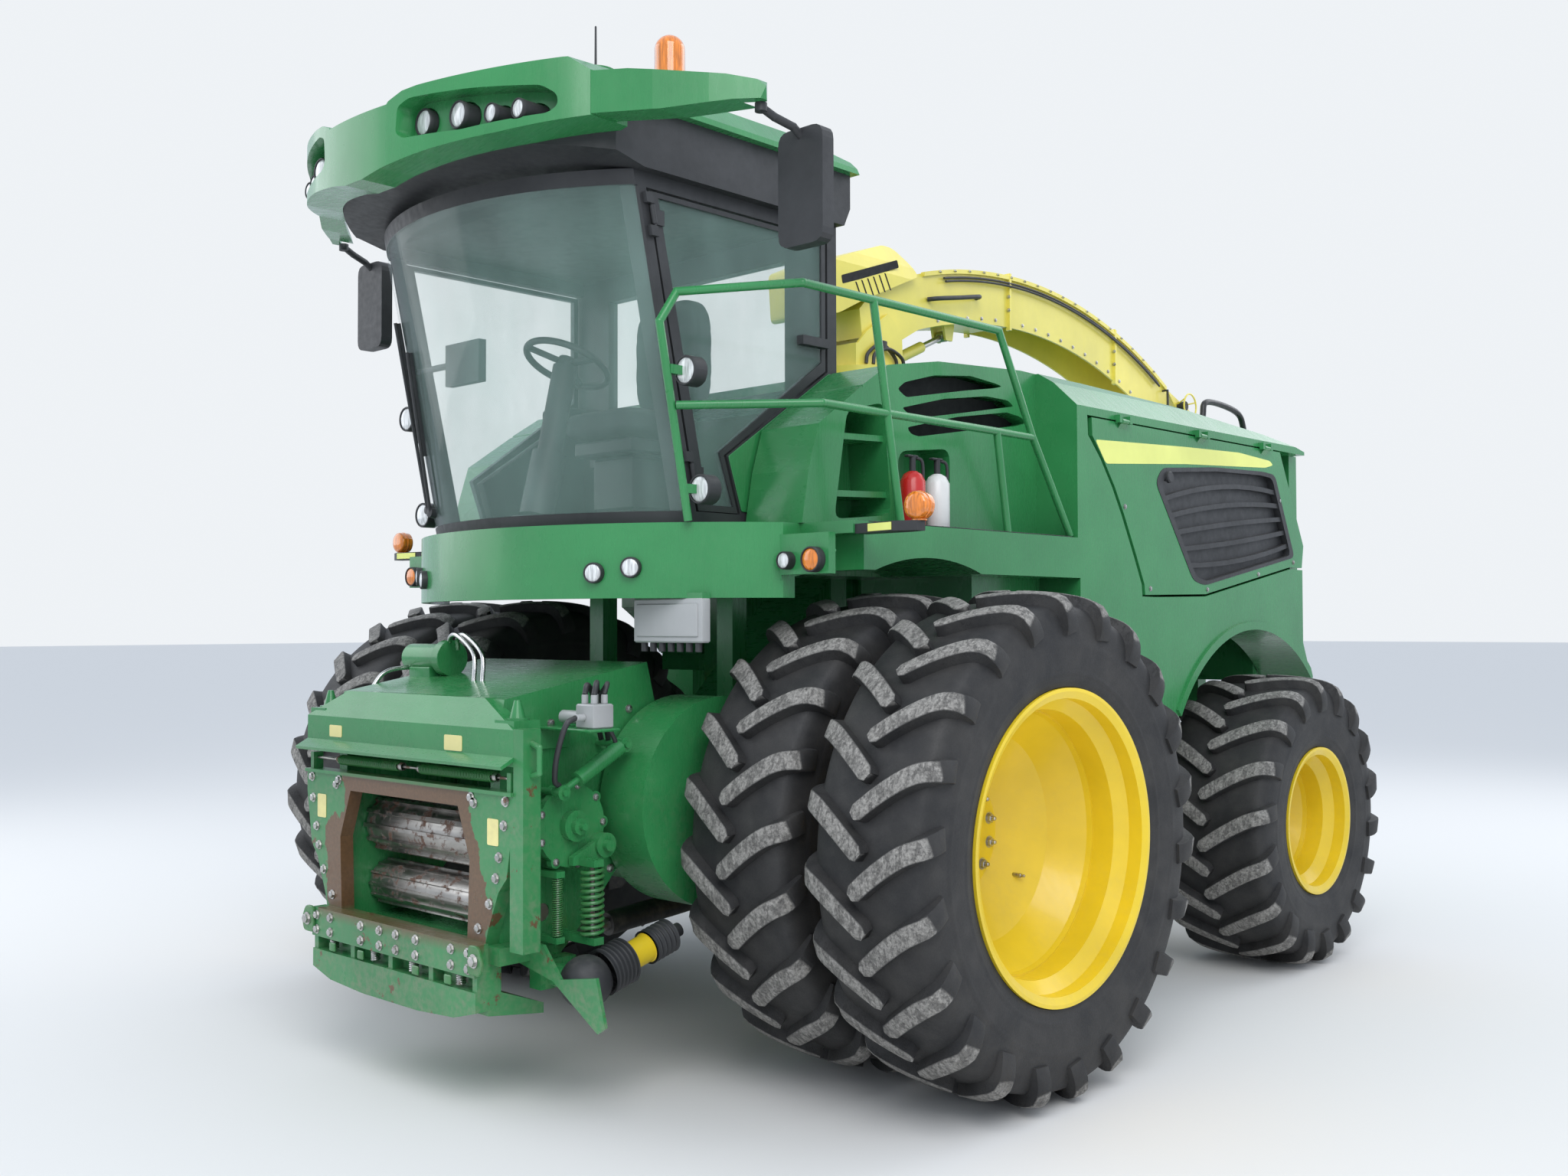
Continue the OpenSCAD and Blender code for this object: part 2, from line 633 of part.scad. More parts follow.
module lift_rods() color(steel) place() both_sides() translate([lift_x, 0, 0]) difference() {
    union() {
        bar(lift_at(330), lift_at(lift_len - 30), 56);
        shaft(-25, 25, lift_eye_y, lift_eye_z, 100);
    }
    shaft(-40, 40, lift_eye_y, lift_eye_z, eye_pin_d + 24);
}

/* Platform and cab */

fascia_x = 1200;
corner_y = -640;
// Lamps of the fascia: angle from straight ahead, z, diameter.
fascia_lamps = [[23.4, 2052, 84], [29.4, 2072, 84]];

// Round bar of a fascia lamp, from the radius r outwards, its diameter grown by e.
module fascia_lamp(l, r, h, e)
    translate([0, fascia_cy, l[1]]) rotate([90, 0, l[0]]) translate([0, 0, r]) cylinder(d = l[2] + e, h = h);
fascia_corner_y = -450;

// Platform deck and the curved band round its front.
module front_fascia() color(green) place() {
    intersection() {
        translate([0, fascia_cy, platform_z - 50]) cylinder(r = fascia_r, h = 50, $fn = 128);
        union() {
            block(-fascia_x, fascia_x, -1400, body_front_y - move_gap, platform_z - 60, platform_z);
            block(-cab_half_w, cab_half_w, -1400, cab_rear_y + 100, platform_z - 60, platform_z);
        }
    }
    both_sides() block(fascia_x - 1, body_half_w + 30, fascia_corner_y - 80, body_front_y - move_gap,
        platform_z - 50, platform_z);
    difference() {
        intersection() {
            difference() {
                translate([0, fascia_cy, fascia_low_z]) cylinder(r = fascia_r, h = platform_z - fascia_low_z,
                    $fn = 128);
                translate([0, fascia_cy, fascia_low_z - 10]) cylinder(r = fascia_r - 40, h = 400, $fn = 128);
            }
            block(-fascia_x, fascia_x, -1400, 0, 0, 3000);
        }
        both_sides() for (l = fascia_lamps) fascia_lamp(l, fascia_r - 22, 60, 2 * seat_gap);
    }
    // Box of the harness joints below the cab's left front corner.
    block(620, 1020, -900, -860, 1775, fascia_low_z + 20);
    both_sides() side_plate([[corner_y, platform_z - 50], [corner_y, 2020], [body_front_y - move_gap, 2060],
        [body_front_y - move_gap, platform_z - 50]], fascia_x - 40, 40);
    both_sides() block(fascia_x - 40, body_half_w, corner_y, corner_y + 40, 2040, platform_z - 50);
    both_sides() shaft(body_half_w - 40, body_half_w, -600, 2130, 10);
    both_sides() block(rail_x, rail_x + rail_w, -900, 600, platform_z - 60, platform_z - 50);
}

// Axis of the leaning windshield cylinder, and the solid that it cuts out.
cab_floor_z = platform_z + 20;
module windshield_body(r, z0, z1) {
    intersection() {
        translate([0, fascia_cy, cab_floor_z]) rotate([windshield_lean, 0, 0])
            translate([0, 0, -600]) cylinder(r = r, h = 2600, $fn = 256);
        block(-3000, 3000, -3000, 600, z0, z1);
    }
}

function lean_y(z) = -tan(windshield_lean) * (z - cab_floor_z);
function pillar_y(z) = fascia_cy + lean_y(z) - sqrt(pow(windshield_r, 2) - pow(cab_half_w, 2));

sill_z = cab_floor_z + 30;
header_z = cab_top_z - 60;

door_low_y = -560;
door_apex = [-640, 2540];
door_rear_y = cab_rear_y - cab_wall - 10;
door_step_z = 2960;

// The door's outline in (y, z), cut away below at its rear.
function door_outline(g) = [
    [pillar_y(sill_z) + 40 + g, sill_z + g], [door_low_y - g, sill_z + g], [door_apex.x - g, door_apex.y],
    [door_rear_y - g, door_step_z + g], [door_rear_y - g, header_z - g - 6],
    [pillar_y(header_z) + 40 + g, header_z - g - 6]];

function window_outline(m) = [
    [pillar_y(sill_z) + 65 + m, sill_z + m], [door_low_y - m, sill_z + m], [door_apex.x - m, door_apex.y + 10],
    [door_rear_y - m, door_step_z + 1.3 * m], [door_rear_y - m, header_z - m],
        [pillar_y(header_z) + 65 + m, header_z - m]];

door_t = 30;
door_hinge_d = 22;
door_pin_d = 12;
door_hinge_zs = [2420, 3420];
door_hinge_l = 70;

// A point on the door's leaning hinge line.
function door_axis(z) = [cab_half_w + 14, pillar_y(z) + 36, z];

module cab_frame() color(black) place() {
    // Floor and header ring, the floor following the windshield.
    intersection() {
        windshield_body(windshield_r - 2, platform_z, cab_floor_z + 30);
        block(-cab_half_w, cab_half_w, -3000, cab_rear_y, platform_z, cab_floor_z + 30);
    }
    difference() {
        intersection() {
            windshield_body(windshield_r - 2, cab_top_z - 60, cab_top_z);
            block(-cab_half_w, cab_half_w, -3000, cab_rear_y, 0, 5000);
        }
        intersection() {
            windshield_body(windshield_r - 70, cab_top_z - 80, cab_top_z + 20);
            block(-cab_half_w + cab_wall, cab_half_w - cab_wall, -3000, cab_rear_y - cab_wall, 0, 5000);
        }
    }
    // Lining between the windows and the roof cap, reaching forward under the visor.
    intersection() {
        side_plate([[-1640, 3700], [-1640, lining_z - seat_gap], [cab_rear_y + 40, lining_z - seat_gap],
            [cab_rear_y + 40, 3700],
            [cab_rear_y, cab_top_z - 1], [-1120, cab_top_z - 1], [-1250, 3650]],
                -lining_half_w, 2 * lining_half_w);
        translate([0, roof_cy, 3500]) cylinder(r = visor_in_r - seat_gap, h = 400, $fn = 128);
    }
    both_sides() {
        // Front pillar, rear pillar and the filled corner below the door.
        intersection() {
            side_plate([[pillar_y(sill_z) - 60, sill_z], [pillar_y(sill_z) + 32, sill_z],
                [pillar_y(header_z) + 32, header_z], [pillar_y(header_z) - 60, header_z]],
                    cab_half_w - cab_wall, cab_wall);
            windshield_body(windshield_r - glass_t - seat_gap, sill_z - 10, header_z + 10);
        }
        block(cab_half_w - cab_wall, cab_half_w, cab_rear_y - cab_wall, cab_rear_y, sill_z, header_z);
        for (z = door_hinge_zs) {
            bar(door_axis(z - 50), door_axis(z + door_hinge_l + 50), door_pin_d);
            for (e = [z - 50, z + door_hinge_l + 6]) {
                side_plate([[pillar_y(e) + 4, e], [pillar_y(e) + 30, e], [pillar_y(e + 40) + 30, e + 40],
                    [pillar_y(e + 40) + 4, e + 40]], cab_half_w - 20, 30);
                side_plate([[pillar_y(e) + 4, e], [pillar_y(e) + 43, e], [pillar_y(e + 40) + 43, e + 40],
                    [pillar_y(e + 40) + 4, e + 40]], cab_half_w + 2, 22);
            }
        }
        side_plate([[door_low_y + 10, sill_z], [door_apex.x + 12, door_apex.y], [door_rear_y + 10, door_step_z],
            [cab_rear_y - cab_wall + 1, door_step_z], [cab_rear_y - cab_wall + 1, sill_z]],
                cab_half_w - cab_wall, cab_wall);
    }
    // Rear wall round its window.
    difference() {
        block(-cab_half_w + cab_wall, cab_half_w - cab_wall, cab_rear_y - cab_wall, cab_rear_y, sill_z,
            header_z);
        block(-620, 620, cab_rear_y - cab_wall - 10, cab_rear_y + 10, 2820, header_z - 60);
    }
}

module windshield() color("lightblue", 0.35) place() intersection() {
    difference() {
        windshield_body(windshield_r, sill_z + seat_gap, header_z - seat_gap);
        windshield_body(windshield_r - glass_t, sill_z - 50, header_z + 50);
    }
    block(-cab_half_w + 10, cab_half_w - 10, -3000, -400, 0, 5000);
}

module cab_glass() color("lightblue", 0.35) place()
    block(-620, 620, cab_rear_y - 40, cab_rear_y - 40 + glass_t, 2820, header_z - 60);

module cab_door() difference() {
    side_plate(door_outline(4), cab_half_w - door_t, door_t);
    side_plate(window_outline(30), cab_half_w - door_t - 10, door_t + 20);
}

module door_glass() side_plate(window_outline(30 + seat_gap), cab_half_w - door_t + 8, glass_t);

module door_glass_left() color("lightblue", 0.35) place() door_glass();
module window_glass_right() color("lightblue", 0.35) place() other_side() door_glass();

module cab_door_left() color(black) place() {
    cab_door();
    side_plate([[door_rear_y - 180, 3060], [door_rear_y - 10, 3060], [door_rear_y - 10, 3100],
        [door_rear_y - 180, 3100]], cab_half_w - 9, 38);
    difference() {
        for (z = door_hinge_zs) {
            bar(door_axis(z), door_axis(z + door_hinge_l), door_hinge_d);
            side_plate([[pillar_y(z) + 40, z], [pillar_y(z) + 90, z], [pillar_y(z) + 90, z + door_hinge_l - 10],
                [pillar_y(z) + 40, z + door_hinge_l - 10]], cab_half_w - 10, 20);
        }
        for (z = door_hinge_zs) bar(door_axis(z - 30), door_axis(z + door_hinge_l + 30),
            door_pin_d + 2 * run_gap);
    }
}
module cab_window_right() color(black) place() other_side() cab_door();

roof_cy = -430;
roof_r = 1400;
visor_in_r = 1250;
recess_r = 1315;
visor_half_w = 980;
lining_half_w = 930;
lining_z = 3850;

// Depth of a ring's wall at x, measured from the front axle.
function ring_y(r, x) = roof_cy - sqrt(r * r - x * x);

// Roof cap with two lamp pods over its front edge, and the visor that hangs below them.
module cab_roof() color(green) place() difference() {
    union() {
        roof_cap();
        visor();
        for (b = [beacon, antenna]) translate([b.x, b.y, 3900]) cylinder(d = 170, h = pad_z - 3900);
    }
    both_sides() {
        lamp_recess();
        for (l = lamp_table) translate([l[0], ring_y(recess_r, l[0] + l[3] / 2) + 4, l[2]]) rotate([90, 0, 0])
            cylinder(d = l[3] + 8, h = 300);
    }
}

module roof_cap() intersection() {
    translate([0, roof_cy, lining_z]) cylinder(r = roof_r, h = 300, $fn = 128);
    union() {
        intersection() {
            side_plate([[-1840, lining_z], [-1840, 3856], [-1500, 3905], [-1100, 3985], [-700, roof_top_z],
                [-300, 3975],
                [cab_rear_y + 30, 3905], [cab_rear_y + 60, lining_z]], -970, 1940);
            cross_plate(mirrored([[970, lining_z], [966, 3875], [890, 3965], [600, roof_top_z]]), -2200, 3000);
        }
        both_sides() intersection() {
            side_plate([[-1840, lining_z], [-1840, 3878], [-1780, 3905], [-1500, 3950], [-1050, 3985],
                [-1050, lining_z]],
                200, visor_half_w - 200);
            cross_plate([[200, lining_z], [222, 3870], [300, 3898], [460, 3990], [870, 3990],
                [visor_half_w, 3902], [visor_half_w, lining_z]], -2200, 3000);
        }
    }
}

// Curved front wall of the roof, lowest in the middle, with a lip along its lower edge.
module visor() intersection() {
    difference() {
        translate([0, roof_cy, 3560]) cylinder(r = roof_r, h = lining_z + 1 - 3560, $fn = 128);
        translate([0, roof_cy, 3550]) cylinder(r = visor_in_r, h = 400, $fn = 128);
    }
    cross_plate(mirrored([[visor_half_w, 3900], [visor_half_w, 3732], [700, 3682], [400, 3648], [180, 3618],
        [60, 3596]]),
        -2200, 950);
}

// Oval recess of a pod, with the curved floor that its lamps stand on.
module lamp_recess() intersection() {
    cross_plate(soft([[262, 3738], [300, 3712], [560, 3706], [860, 3742], [890, 3770], [888, 3812], [840, 3848],
        [600, 3858], [330, 3862], [272, 3838]], 18), -2200, 1000);
    difference() {
        translate([0, roof_cy, 3600]) cylinder(r = 1600, h = 400, $fn = 128);
        translate([0, roof_cy, 3590]) cylinder(r = recess_r, h = 420, $fn = 128);
    }
}

// Green blades that carry the visor's sweep out to the mirrors.
module visor_wings() color(green) place() both_sides() intersection() {
    cross_plate([[visor_half_w + seat_gap, 3738], [visor_half_w + seat_gap, 3898], [1100, 3896], [1400, 3856],
        [1490, 3832],
        [1516, 3806], [1500, 3762], [1420, 3762], [1200, 3738]], -1600, 800);
    union() {
        plan_plate([[visor_half_w, -1428], [1180, -1302], [1350, -1178], [1516, -1048], [1490, -1016],
            [1320, -1140],
            [1150, -1262], [visor_half_w, -1382]], 3700, 300);
        plan_plate([[visor_half_w, -1428], [1180, -1302], [1350, -1178], [1516, -1048], [1450, -970],
            [1290, -1082],
            [1130, -1196], [visor_half_w, -1300]], 3700, 62);
    }
}

// Lamps of the roof pods: x, y of the lens, z, diameter.
lamp_table = [[328, -1725, 3785, 110], [506, -1690, 3782, 110], [644, -1640, 3768, 78], [759, -1600, 3768, 78]];
beacon = [790, -860];
antenna = [780, -1240];
pad_z = 3992;

module roof_lamps() color("orange") place() {
    both_sides() for (l = lamp_table) {
        back = ring_y(recess_r, l[0] + l[3] / 2) + 4 - seat_gap;
        translate([l[0], back, l[2]]) rotate([90, 0, 0]) cylinder(d = l[3], h = back - l[1]);
    }
    translate([beacon.x, beacon.y, pad_z + seat_gap]) {
        cylinder(d = 150, h = 60);
        cylinder(d = 128, h = 190);
        translate([0, 0, 190]) sphere(d = 128);
    }
    translate([antenna.x, antenna.y, pad_z + seat_gap]) {
        cylinder(d = 24, h = 16);
        cylinder(d = 10, h = 170);
    }
}

// Round work lamps on the fascia, its corners and the railing's front posts.
corner_lamp_xs = [1242, 1385];

module work_lamps() color(black) place() both_sides() {
    for (l = fascia_lamps) fascia_lamp(l, fascia_r - 22 + seat_gap, 40, 0);
    for (x = corner_lamp_xs) translate([x, corner_y - seat_gap, 2095]) rotate([90, 0, 0]) cylinder(d = 70,
        h = 30);
    for (l = rail_lamps) translate([l.x, l.y + seat_gap, l.z]) rotate([-90, 0, 0]) cylinder(d = 120, h = 62);
}

mirror_x = 1500;
mirror_y = -820;
mirror_w = 226;
mirror_h = 440;

// Rounded mirror heads on bent tubes that hang from the wings' tips.
module mirrors() color(black) place() both_sides() {
    tube([[1462, -1020, 3762 - seat_gap - 14], [1474, -960, 3722], [1494, -880, 3700],
        [mirror_x, mirror_y, 3660]], 32);
    translate([1462, -1020, 3730]) cylinder(d = 46, h = 32 - seat_gap);
    cross_plate(soft([[mirror_x - mirror_w / 2, 3262], [mirror_x - mirror_w / 2, 3262 + mirror_h],
        [mirror_x + mirror_w / 2, 3262 + mirror_h], [mirror_x + mirror_w / 2, 3262]], 52), mirror_y - 30, 62);
}

module seat() color(black) place() {
    block(-260, 260, -640, -120, 2690, 2830);
    block(-240, 240, -180, -60, 2830, 3400);
    block(-200, 200, -560, -160, cab_floor_z + 30, 2690);
    block(-420, -280, -620, -100, 2780, 2880);
    block(-420, -260, -300, -180, 2600, 2780);
}

wheel_c = [0, -760, 3010];
screen_z = 3040;

module cab_controls() color(black) place() {
    translate([0, -930, sill_z]) cylinder(d = 220, h = 20);
    bar([0, -930, sill_z + 20], [0, -860, 2600], 150);
    bar([0, -860, 2600], [0, -770, 2995], 110);
    translate(wheel_c) rotate([-25, 0, 0]) {
        rotate_extrude() translate([190, 0]) circle(d = 30);
        for (a = [0, 120, 240]) rotate([0, 0, a]) translate([0, -12, -10]) cube([190, 24, 20]);
        cylinder(d = 90, h = 40, center = true);
    }
    // Screen on a level rail from the right front pillar.
    screen_y = pillar_y(screen_z) - 14;
    shaft(-cab_half_w + cab_wall + seat_gap, -400, screen_y, screen_z, 30);
    block(-560, -300, screen_y - 20, screen_y + 20, screen_z - 100, screen_z + 90);
}

/* Railing and ladder */

rail_d = 34;
rail_over = 0.2;
rail_foot = 4;
rail_x_out = body_half_w - 30;
rail_top_z = 3150;
// Lamps behind the railing's front posts: x, y of the bracket's end, z.
rail_lamps = [[985, -955, 2840], [975, -870, 2380]];
rail_mid_z = 2700;

module railing() color(green) place() {
    tube([[950, -910, platform_z + rail_foot], [960, -1070, 3020], [960, -980, rail_top_z],
        [rail_x_out, -750, rail_top_z],
        [rail_x_out, 540, rail_top_z], [rail_x_out, 800, rail_mid_z],
            [rail_x_out, 1110, platform_z + 2.5 * rail_foot]],
        rail_d + rail_over);
    tube([[975, -994, rail_mid_z], [rail_x_out, -640, rail_mid_z], [rail_x_out, 800, rail_mid_z - 3]], rail_d);
    bar([rail_x_out, -330, rail_top_z], [rail_x_out, -160, platform_z + rail_foot], rail_d);
    bar([rail_x_out, 520, rail_mid_z], [rail_x_out, 600, platform_z + rail_foot], rail_d);
    for (l = rail_lamps) block(l.x - 36, l.x - 8, l.y - 70, l.y, l.z - 18, l.z + 18);
    for (y = [1060, 1400]) block(body_half_w, 1560, y, y + 30, 500, 1800);
    for (i = [0 : 4]) block(body_half_w, 1560, 1090, 1400, 500 + i * 280, 530 + i * 280);
}

/* Bodywork */

// Front edge of the opening panels in (y, z), from the belt line down.
seam = [[1220, belt_z], [1226, 2745], [1335, 2640], [1440, 2510], [1525, 2380], [1640, 2180], [1715, 2040],
    [1722, 1980]];
// Lower edge of the panels over the rear fender, from the front.
fender_top = [[1722, 1976], [2380, 1988], [3400, 2158], [3575, 2158]];
panel_rear_top = body_rear_y - 420;
panel_rear_low = body_rear_y - 120;

deck_in_x = 1220;
deck_end_y = 1130;

// Outlines of the three crescent vents in (y, z), from the top.
vent_table = [
    [[70, 2858], [120, 2893], [330, 2948], [600, 2978], [800, 2966], [850, 2958], [790, 2943], [560, 2906],
        [260, 2852], [130, 2828]],
    [[100, 2780], [400, 2851], [720, 2898], [895, 2898], [945, 2874], [820, 2852], [560, 2806], [320, 2764],
        [170, 2746]],
    [[135, 2698], [500, 2780], [885, 2840], [1000, 2830], [1055, 2806], [960, 2782], [560, 2722], [215, 2665],
        [160, 2672]]];

// Crescent openings through the wall behind the walkway, from x0 on.
module vents(x0) for (v = vent_table) side_plate(soft(v, 16, 2), x0, 200);

step_recess = [[-262, 2735], [-20, 2790], [22, 2310], [-345, 2276]];
niche = [[70, 2300], [72, 2590], [440, 2630], [440, 2286]];

module side_body() {
    difference() {
        union() {
            // Wall behind the walkway, then the full width behind it.
            side_plate(concat([[body_front_y, 2060], [body_front_y, platform_z + 1], [-540, platform_z + 1],
                [-500, 2470], [-440, 2660], [-172, belt_z]], seam, [[1500, 1690], [600, 1690], [600, 2060]]),
                560, deck_in_x - 560);
            side_plate(concat([[body_front_y, 2060], [body_front_y, platform_z], [deck_end_y, platform_z],
                [deck_end_y, belt_z]], seam, [[2100, 1975], [2100, 1350], [1150, 1350], [1150, 2060]]),
                deck_in_x - 1, body_half_w - deck_in_x + 1);
            // Fender over the rear wheel, with a raised lip round its arch.
            side_plate(concat([[2099, 1350]], fender_top, [[3575, 1730], [3680, 1520], [3600, 1350]]),
                1150, body_half_w - 1150);
            intersection() {
                side_plate([[2099, 1350], [1900, 1560], [2100, 1900], [2900, 1900], [3575, 1860],
                    [3575, 1730], [3672, 1530],
                    [3600, 1350]], body_half_w - 1, 15);
                shaft(900, body_half_w + 14, wheelbase, rear_z, 2 * rear_arch_r + 90);
            }
        }
        block(0, cab_half_w + 20, -700, cab_rear_y + 120, platform_z - 60, 3000);
        shaft(890, body_half_w + 10, 0, front_z, 2 * front_arch_r);
        shaft(900, body_half_w + 30, wheelbase, rear_z, 2 * rear_arch_r);
        vents(deck_in_x - 90);
        side_plate(soft(niche, 60), deck_in_x - 150, 200);
        // Recess with two steps behind the cab door.
        difference() {
            side_plate(soft(step_recess, 50), deck_in_x - 220, 300);
            for (z = [2390, 2630]) side_plate([[-500, z - 26], [-500, z], [100, z + 24], [100, z - 2]],
                deck_in_x - 230, 210);
        }
    }
}

module side_body_left() color(green) place() side_body();
module side_body_right() color(green) place() other_side() side_body();

panel_hinge_x = body_half_w + 20;
panel_hinge_z = belt_z - 4;
panel_hinge_ys = [1500, 2300, 3050];
panel_pin_d = 12;

louvre_outline = [[1860, 2562], [1930, 2640], [2505, 2686], [3070, 2704], [3222, 2696], [3466, 2230],
    [2370, 2046], [2244, 2070]];

// Panel that swings up about the belt line, with a pocket for its louvred insert.
module side_panel() {
    g = panel_gap;
    difference() {
        side_plate(concat([for (i = [0 : len(seam) - 2]) [seam[i].x + g + (i < 2 ? 32 : 20),
            min(seam[i].y, belt_z - g)]],
            [for (p = fender_top) [p.x + (p == fender_top[0] ? g + 20 : 0) - (p == fender_top[3] ? g : 0),
                p.y + g + 4]],
            [[panel_rear_low - g, 2300], [panel_rear_top - g, belt_z - g]]), body_half_w - panel_t, panel_t);
        side_plate(soft(louvre_outline, 44), body_half_w - panel_t + 16, panel_t);
    }
    difference() {
        for (y = panel_hinge_ys) {
            translate([panel_hinge_x, y, panel_hinge_z]) rotate([-90, 0, 0]) cylinder(d = 24, h = 60);
            cross_plate([[panel_hinge_x - 2, panel_hinge_z - 12], [panel_hinge_x - 2, panel_hinge_z - 4],
                [body_half_w - 20, belt_z - g - 4], [body_half_w - 20, belt_z - g - 30],
                    [body_half_w, belt_z - g - 30]], y, 60);
        }
        for (y = panel_hinge_ys) translate([panel_hinge_x, y - 10, panel_hinge_z]) rotate([-90, 0, 0])
            cylinder(d = panel_pin_d + 2 * run_gap, h = 80);
    }
}

// A point of a louvre blade: f from the lowest blade to the highest, s from front to rear.
function blade_at(f, s) = let (a = [2262 - 375 * f, 2078 + 500 * f], b = [3450 - 238 * f, 2240 + 440 * f])
    [a.x + (b.x - a.x) * s, a.y + (b.y - a.y) * s + (120 * f - 50) * 4 * s * (1 - s)];

// Black insert: a rim, a back and five curved blades.
module louvre() {
    base = body_half_w - panel_t + 16 + seat_gap;
    edge = [for (p = soft(louvre_outline, 44)) p + (([2700, 2380] - p) / norm([2700,
        2380] - p)) * 2 * seat_gap];
    inner = [for (p = soft(louvre_outline, 44)) p + ([2700, 2380] - p) * 0.07];
    side_plate(edge, base, 8);
    difference() {
        side_plate(edge, base, panel_t - 14);
        side_plate(inner, base + 4, panel_t);
    }
    for (i = [1 : 5]) let (f = i / 6)
        side_plate(concat([for (k = [0 : 8]) blade_at(f, k / 8)],
            [for (k = [8 : -1 : 0]) blade_at(f, k / 8) - [0, 26]]), base + 4, panel_t - 26);
}

module louvre_left() color(black) place() louvre();
module louvre_right() color(black) place() other_side() louvre();

module side_panel_left() color(green) place() side_panel();
module side_panel_right() color(green) place() other_side() side_panel();

// Outline of the hood seen from the side and from the rear, inset by t for its inner face.
function hood_side(t) = [
    [t - 160, belt_z - 2 * t], [t - 160, 2850 - t], [10, 2955 - t], [360, 3014 - t], [1000, hood_z - 23 - t],
    [1500, hood_z - 30 - t], [2300, 3012 - t], [3200, 2930 - t], [body_rear_y - 100 - t, 2860 - t],
    [body_rear_y - 100 - t, belt_z - 2 * t]];

function hood_cross(t) = [
    [t - body_half_w, belt_z - 2 * t], [t - body_half_w, belt_z + 40 - t / 2], [t - hood_edge_w, 3000 - t],
    [t - hood_flat_w, 3100 - t], [hood_flat_w - t, 3100 - t], [hood_edge_w - t, 3000 - t],
    [body_half_w - t, belt_z + 40 - t / 2], [body_half_w - t, belt_z - 2 * t]];

hood_t = 40;
hood_edge_w = body_half_w - 130;
hood_flat_w = body_half_w - 300;
hood_cut_w = body_half_w + 150;

// Room above the walkways, grown by e.
module walkway_room(e) both_sides() block(deck_in_x - e, hood_cut_w, -1000, deck_end_y + e, 2000, 4000);

module hood_shell() difference() {
    intersection() {
        side_plate(hood_side(0), -hood_cut_w, 2 * hood_cut_w);
        cross_plate(hood_cross(0), -1000, 5000);
    }
    difference() {
        intersection() {
            side_plate(hood_side(hood_t), 50 - hood_cut_w, 2 * hood_cut_w - 100);
            cross_plate(hood_cross(hood_t), -900, 4900);
        }
        walkway_room(hood_t);
    }
    walkway_room(0);
    block(-cab_half_w - 20, cab_half_w + 20, -1000, cab_rear_y + 20, 2000, 4000);
    translate([0, turret_y, 2500]) cylinder(d = turret_tube_d + 120, h = 900);
    both_sides() vents(deck_in_x - 60);
}

// Pins on the hood's lower edge that carry the side panels.
module panel_pins() both_sides() for (y = panel_hinge_ys) {
    translate([panel_hinge_x, y - 30, panel_hinge_z]) rotate([-90, 0, 0]) cylinder(d = panel_pin_d, h = 120);
    for (e = [y - 30, y + 66]) cross_plate([[body_half_w - 20, belt_z + 24], [panel_hinge_x + 10, belt_z + 24],
        [panel_hinge_x + 10, panel_hinge_z - 10], [panel_hinge_x - 14, panel_hinge_z - 10],
        [panel_hinge_x - 14, belt_z], [body_half_w - 20, belt_z]], e, 24);
}

module hood() color(green) place() {
    hood_shell();
    panel_pins();
}

hitch_z = 820;
hitch_bore_d = 38;
hitch_gap = 80;
hitch_plate_t = 30;

module rear_body() color(green) place() {
    both_sides() cross_plate([[-1, 1290], [780, 1290], [780, 1500], [1140, 1500], [1140, fender_top[3].y + 4],
        [body_half_w - 70, fender_top[3].y + 4],
        [body_half_w - 70, belt_z], [-1, belt_z]], body_rear_y - 160, 100);
    both_sides() block(700, 1130, body_rear_y - 60, body_rear_y - 30, 1520, 1640);
    block(-420, 420, body_rear_y - 160, body_rear_y - 40, 900, 1290);
    // Drawbar coupling: two bored plates behind the frame.
    difference() {
        union() {
            for (z = [hitch_z - hitch_gap / 2 - hitch_plate_t, hitch_z + hitch_gap / 2]) {
                block(-80, 80, body_rear_y - 60, body_rear_y + 40, z, z + hitch_plate_t);
                translate([0, body_rear_y + 40, z]) cylinder(d = 160, h = hitch_plate_t);
            }
            block(-110, 110, body_rear_y - 100, body_rear_y - 40, hitch_z - hitch_gap / 2 - hitch_plate_t, 910);
        }
        translate([0, body_rear_y + 40, hitch_z - 200]) cylinder(d = hitch_bore_d, h = 400);
    }
}

marker_x = 1767;

module marker_arms() color("orange") place() both_sides() {
    plan_plate([[body_half_w + 30 + seat_gap, -520], [body_half_w + 30 + seat_gap, -446], [1700, -446],
        [marker_x + 20, -470],
        [marker_x + 20, -520], [1700, -560]], 2196, 38);
    translate([marker_x, -480, 2230]) cylinder(d = 36, h = 20);
    translate([marker_x, -480, 2292]) rotate([90, 0, 0]) cylinder(d = 104, h = 46, center = true);
}

bottle_x = deck_in_x + 64;
bottle_ys = [92, 262];

// Fire extinguishers on the left walkway, strapped to the wall.
module extinguishers() color("red") place() for (y = bottle_ys) {
    translate([bottle_x, y, platform_z + seat_gap]) {
        cylinder(d = 112, h = 225);
        translate([0, 0, 224]) cylinder(d1 = 112, d2 = 44, h = 30);
        translate([0, 0, 253]) cylinder(d = 34, h = 50);
    }
    block(bottle_x - 10, bottle_x + 40, y - 14, y + 14, platform_z + 300, platform_z + 330);
}

/* Spout */

spout_hinge = [1330, 3440];
spout_cy = 2550;
spout_cz = spout_top_z - spout_r;
spout_y0 = 1560;
spout_y1 = 4340;
spout_pin_d = 40;
cheek_t = 16;
cheek_gap = 6;
turret_ring_d = 560;
turret_top_z = turret_z + 60;

function spout_z(r, y) = spout_cz + sqrt(r * r - pow(y - spout_cy, 2));

jack_foot = [1430, 3270];
jack_eye = [2000, 3520];
jack_pin_d = 30;

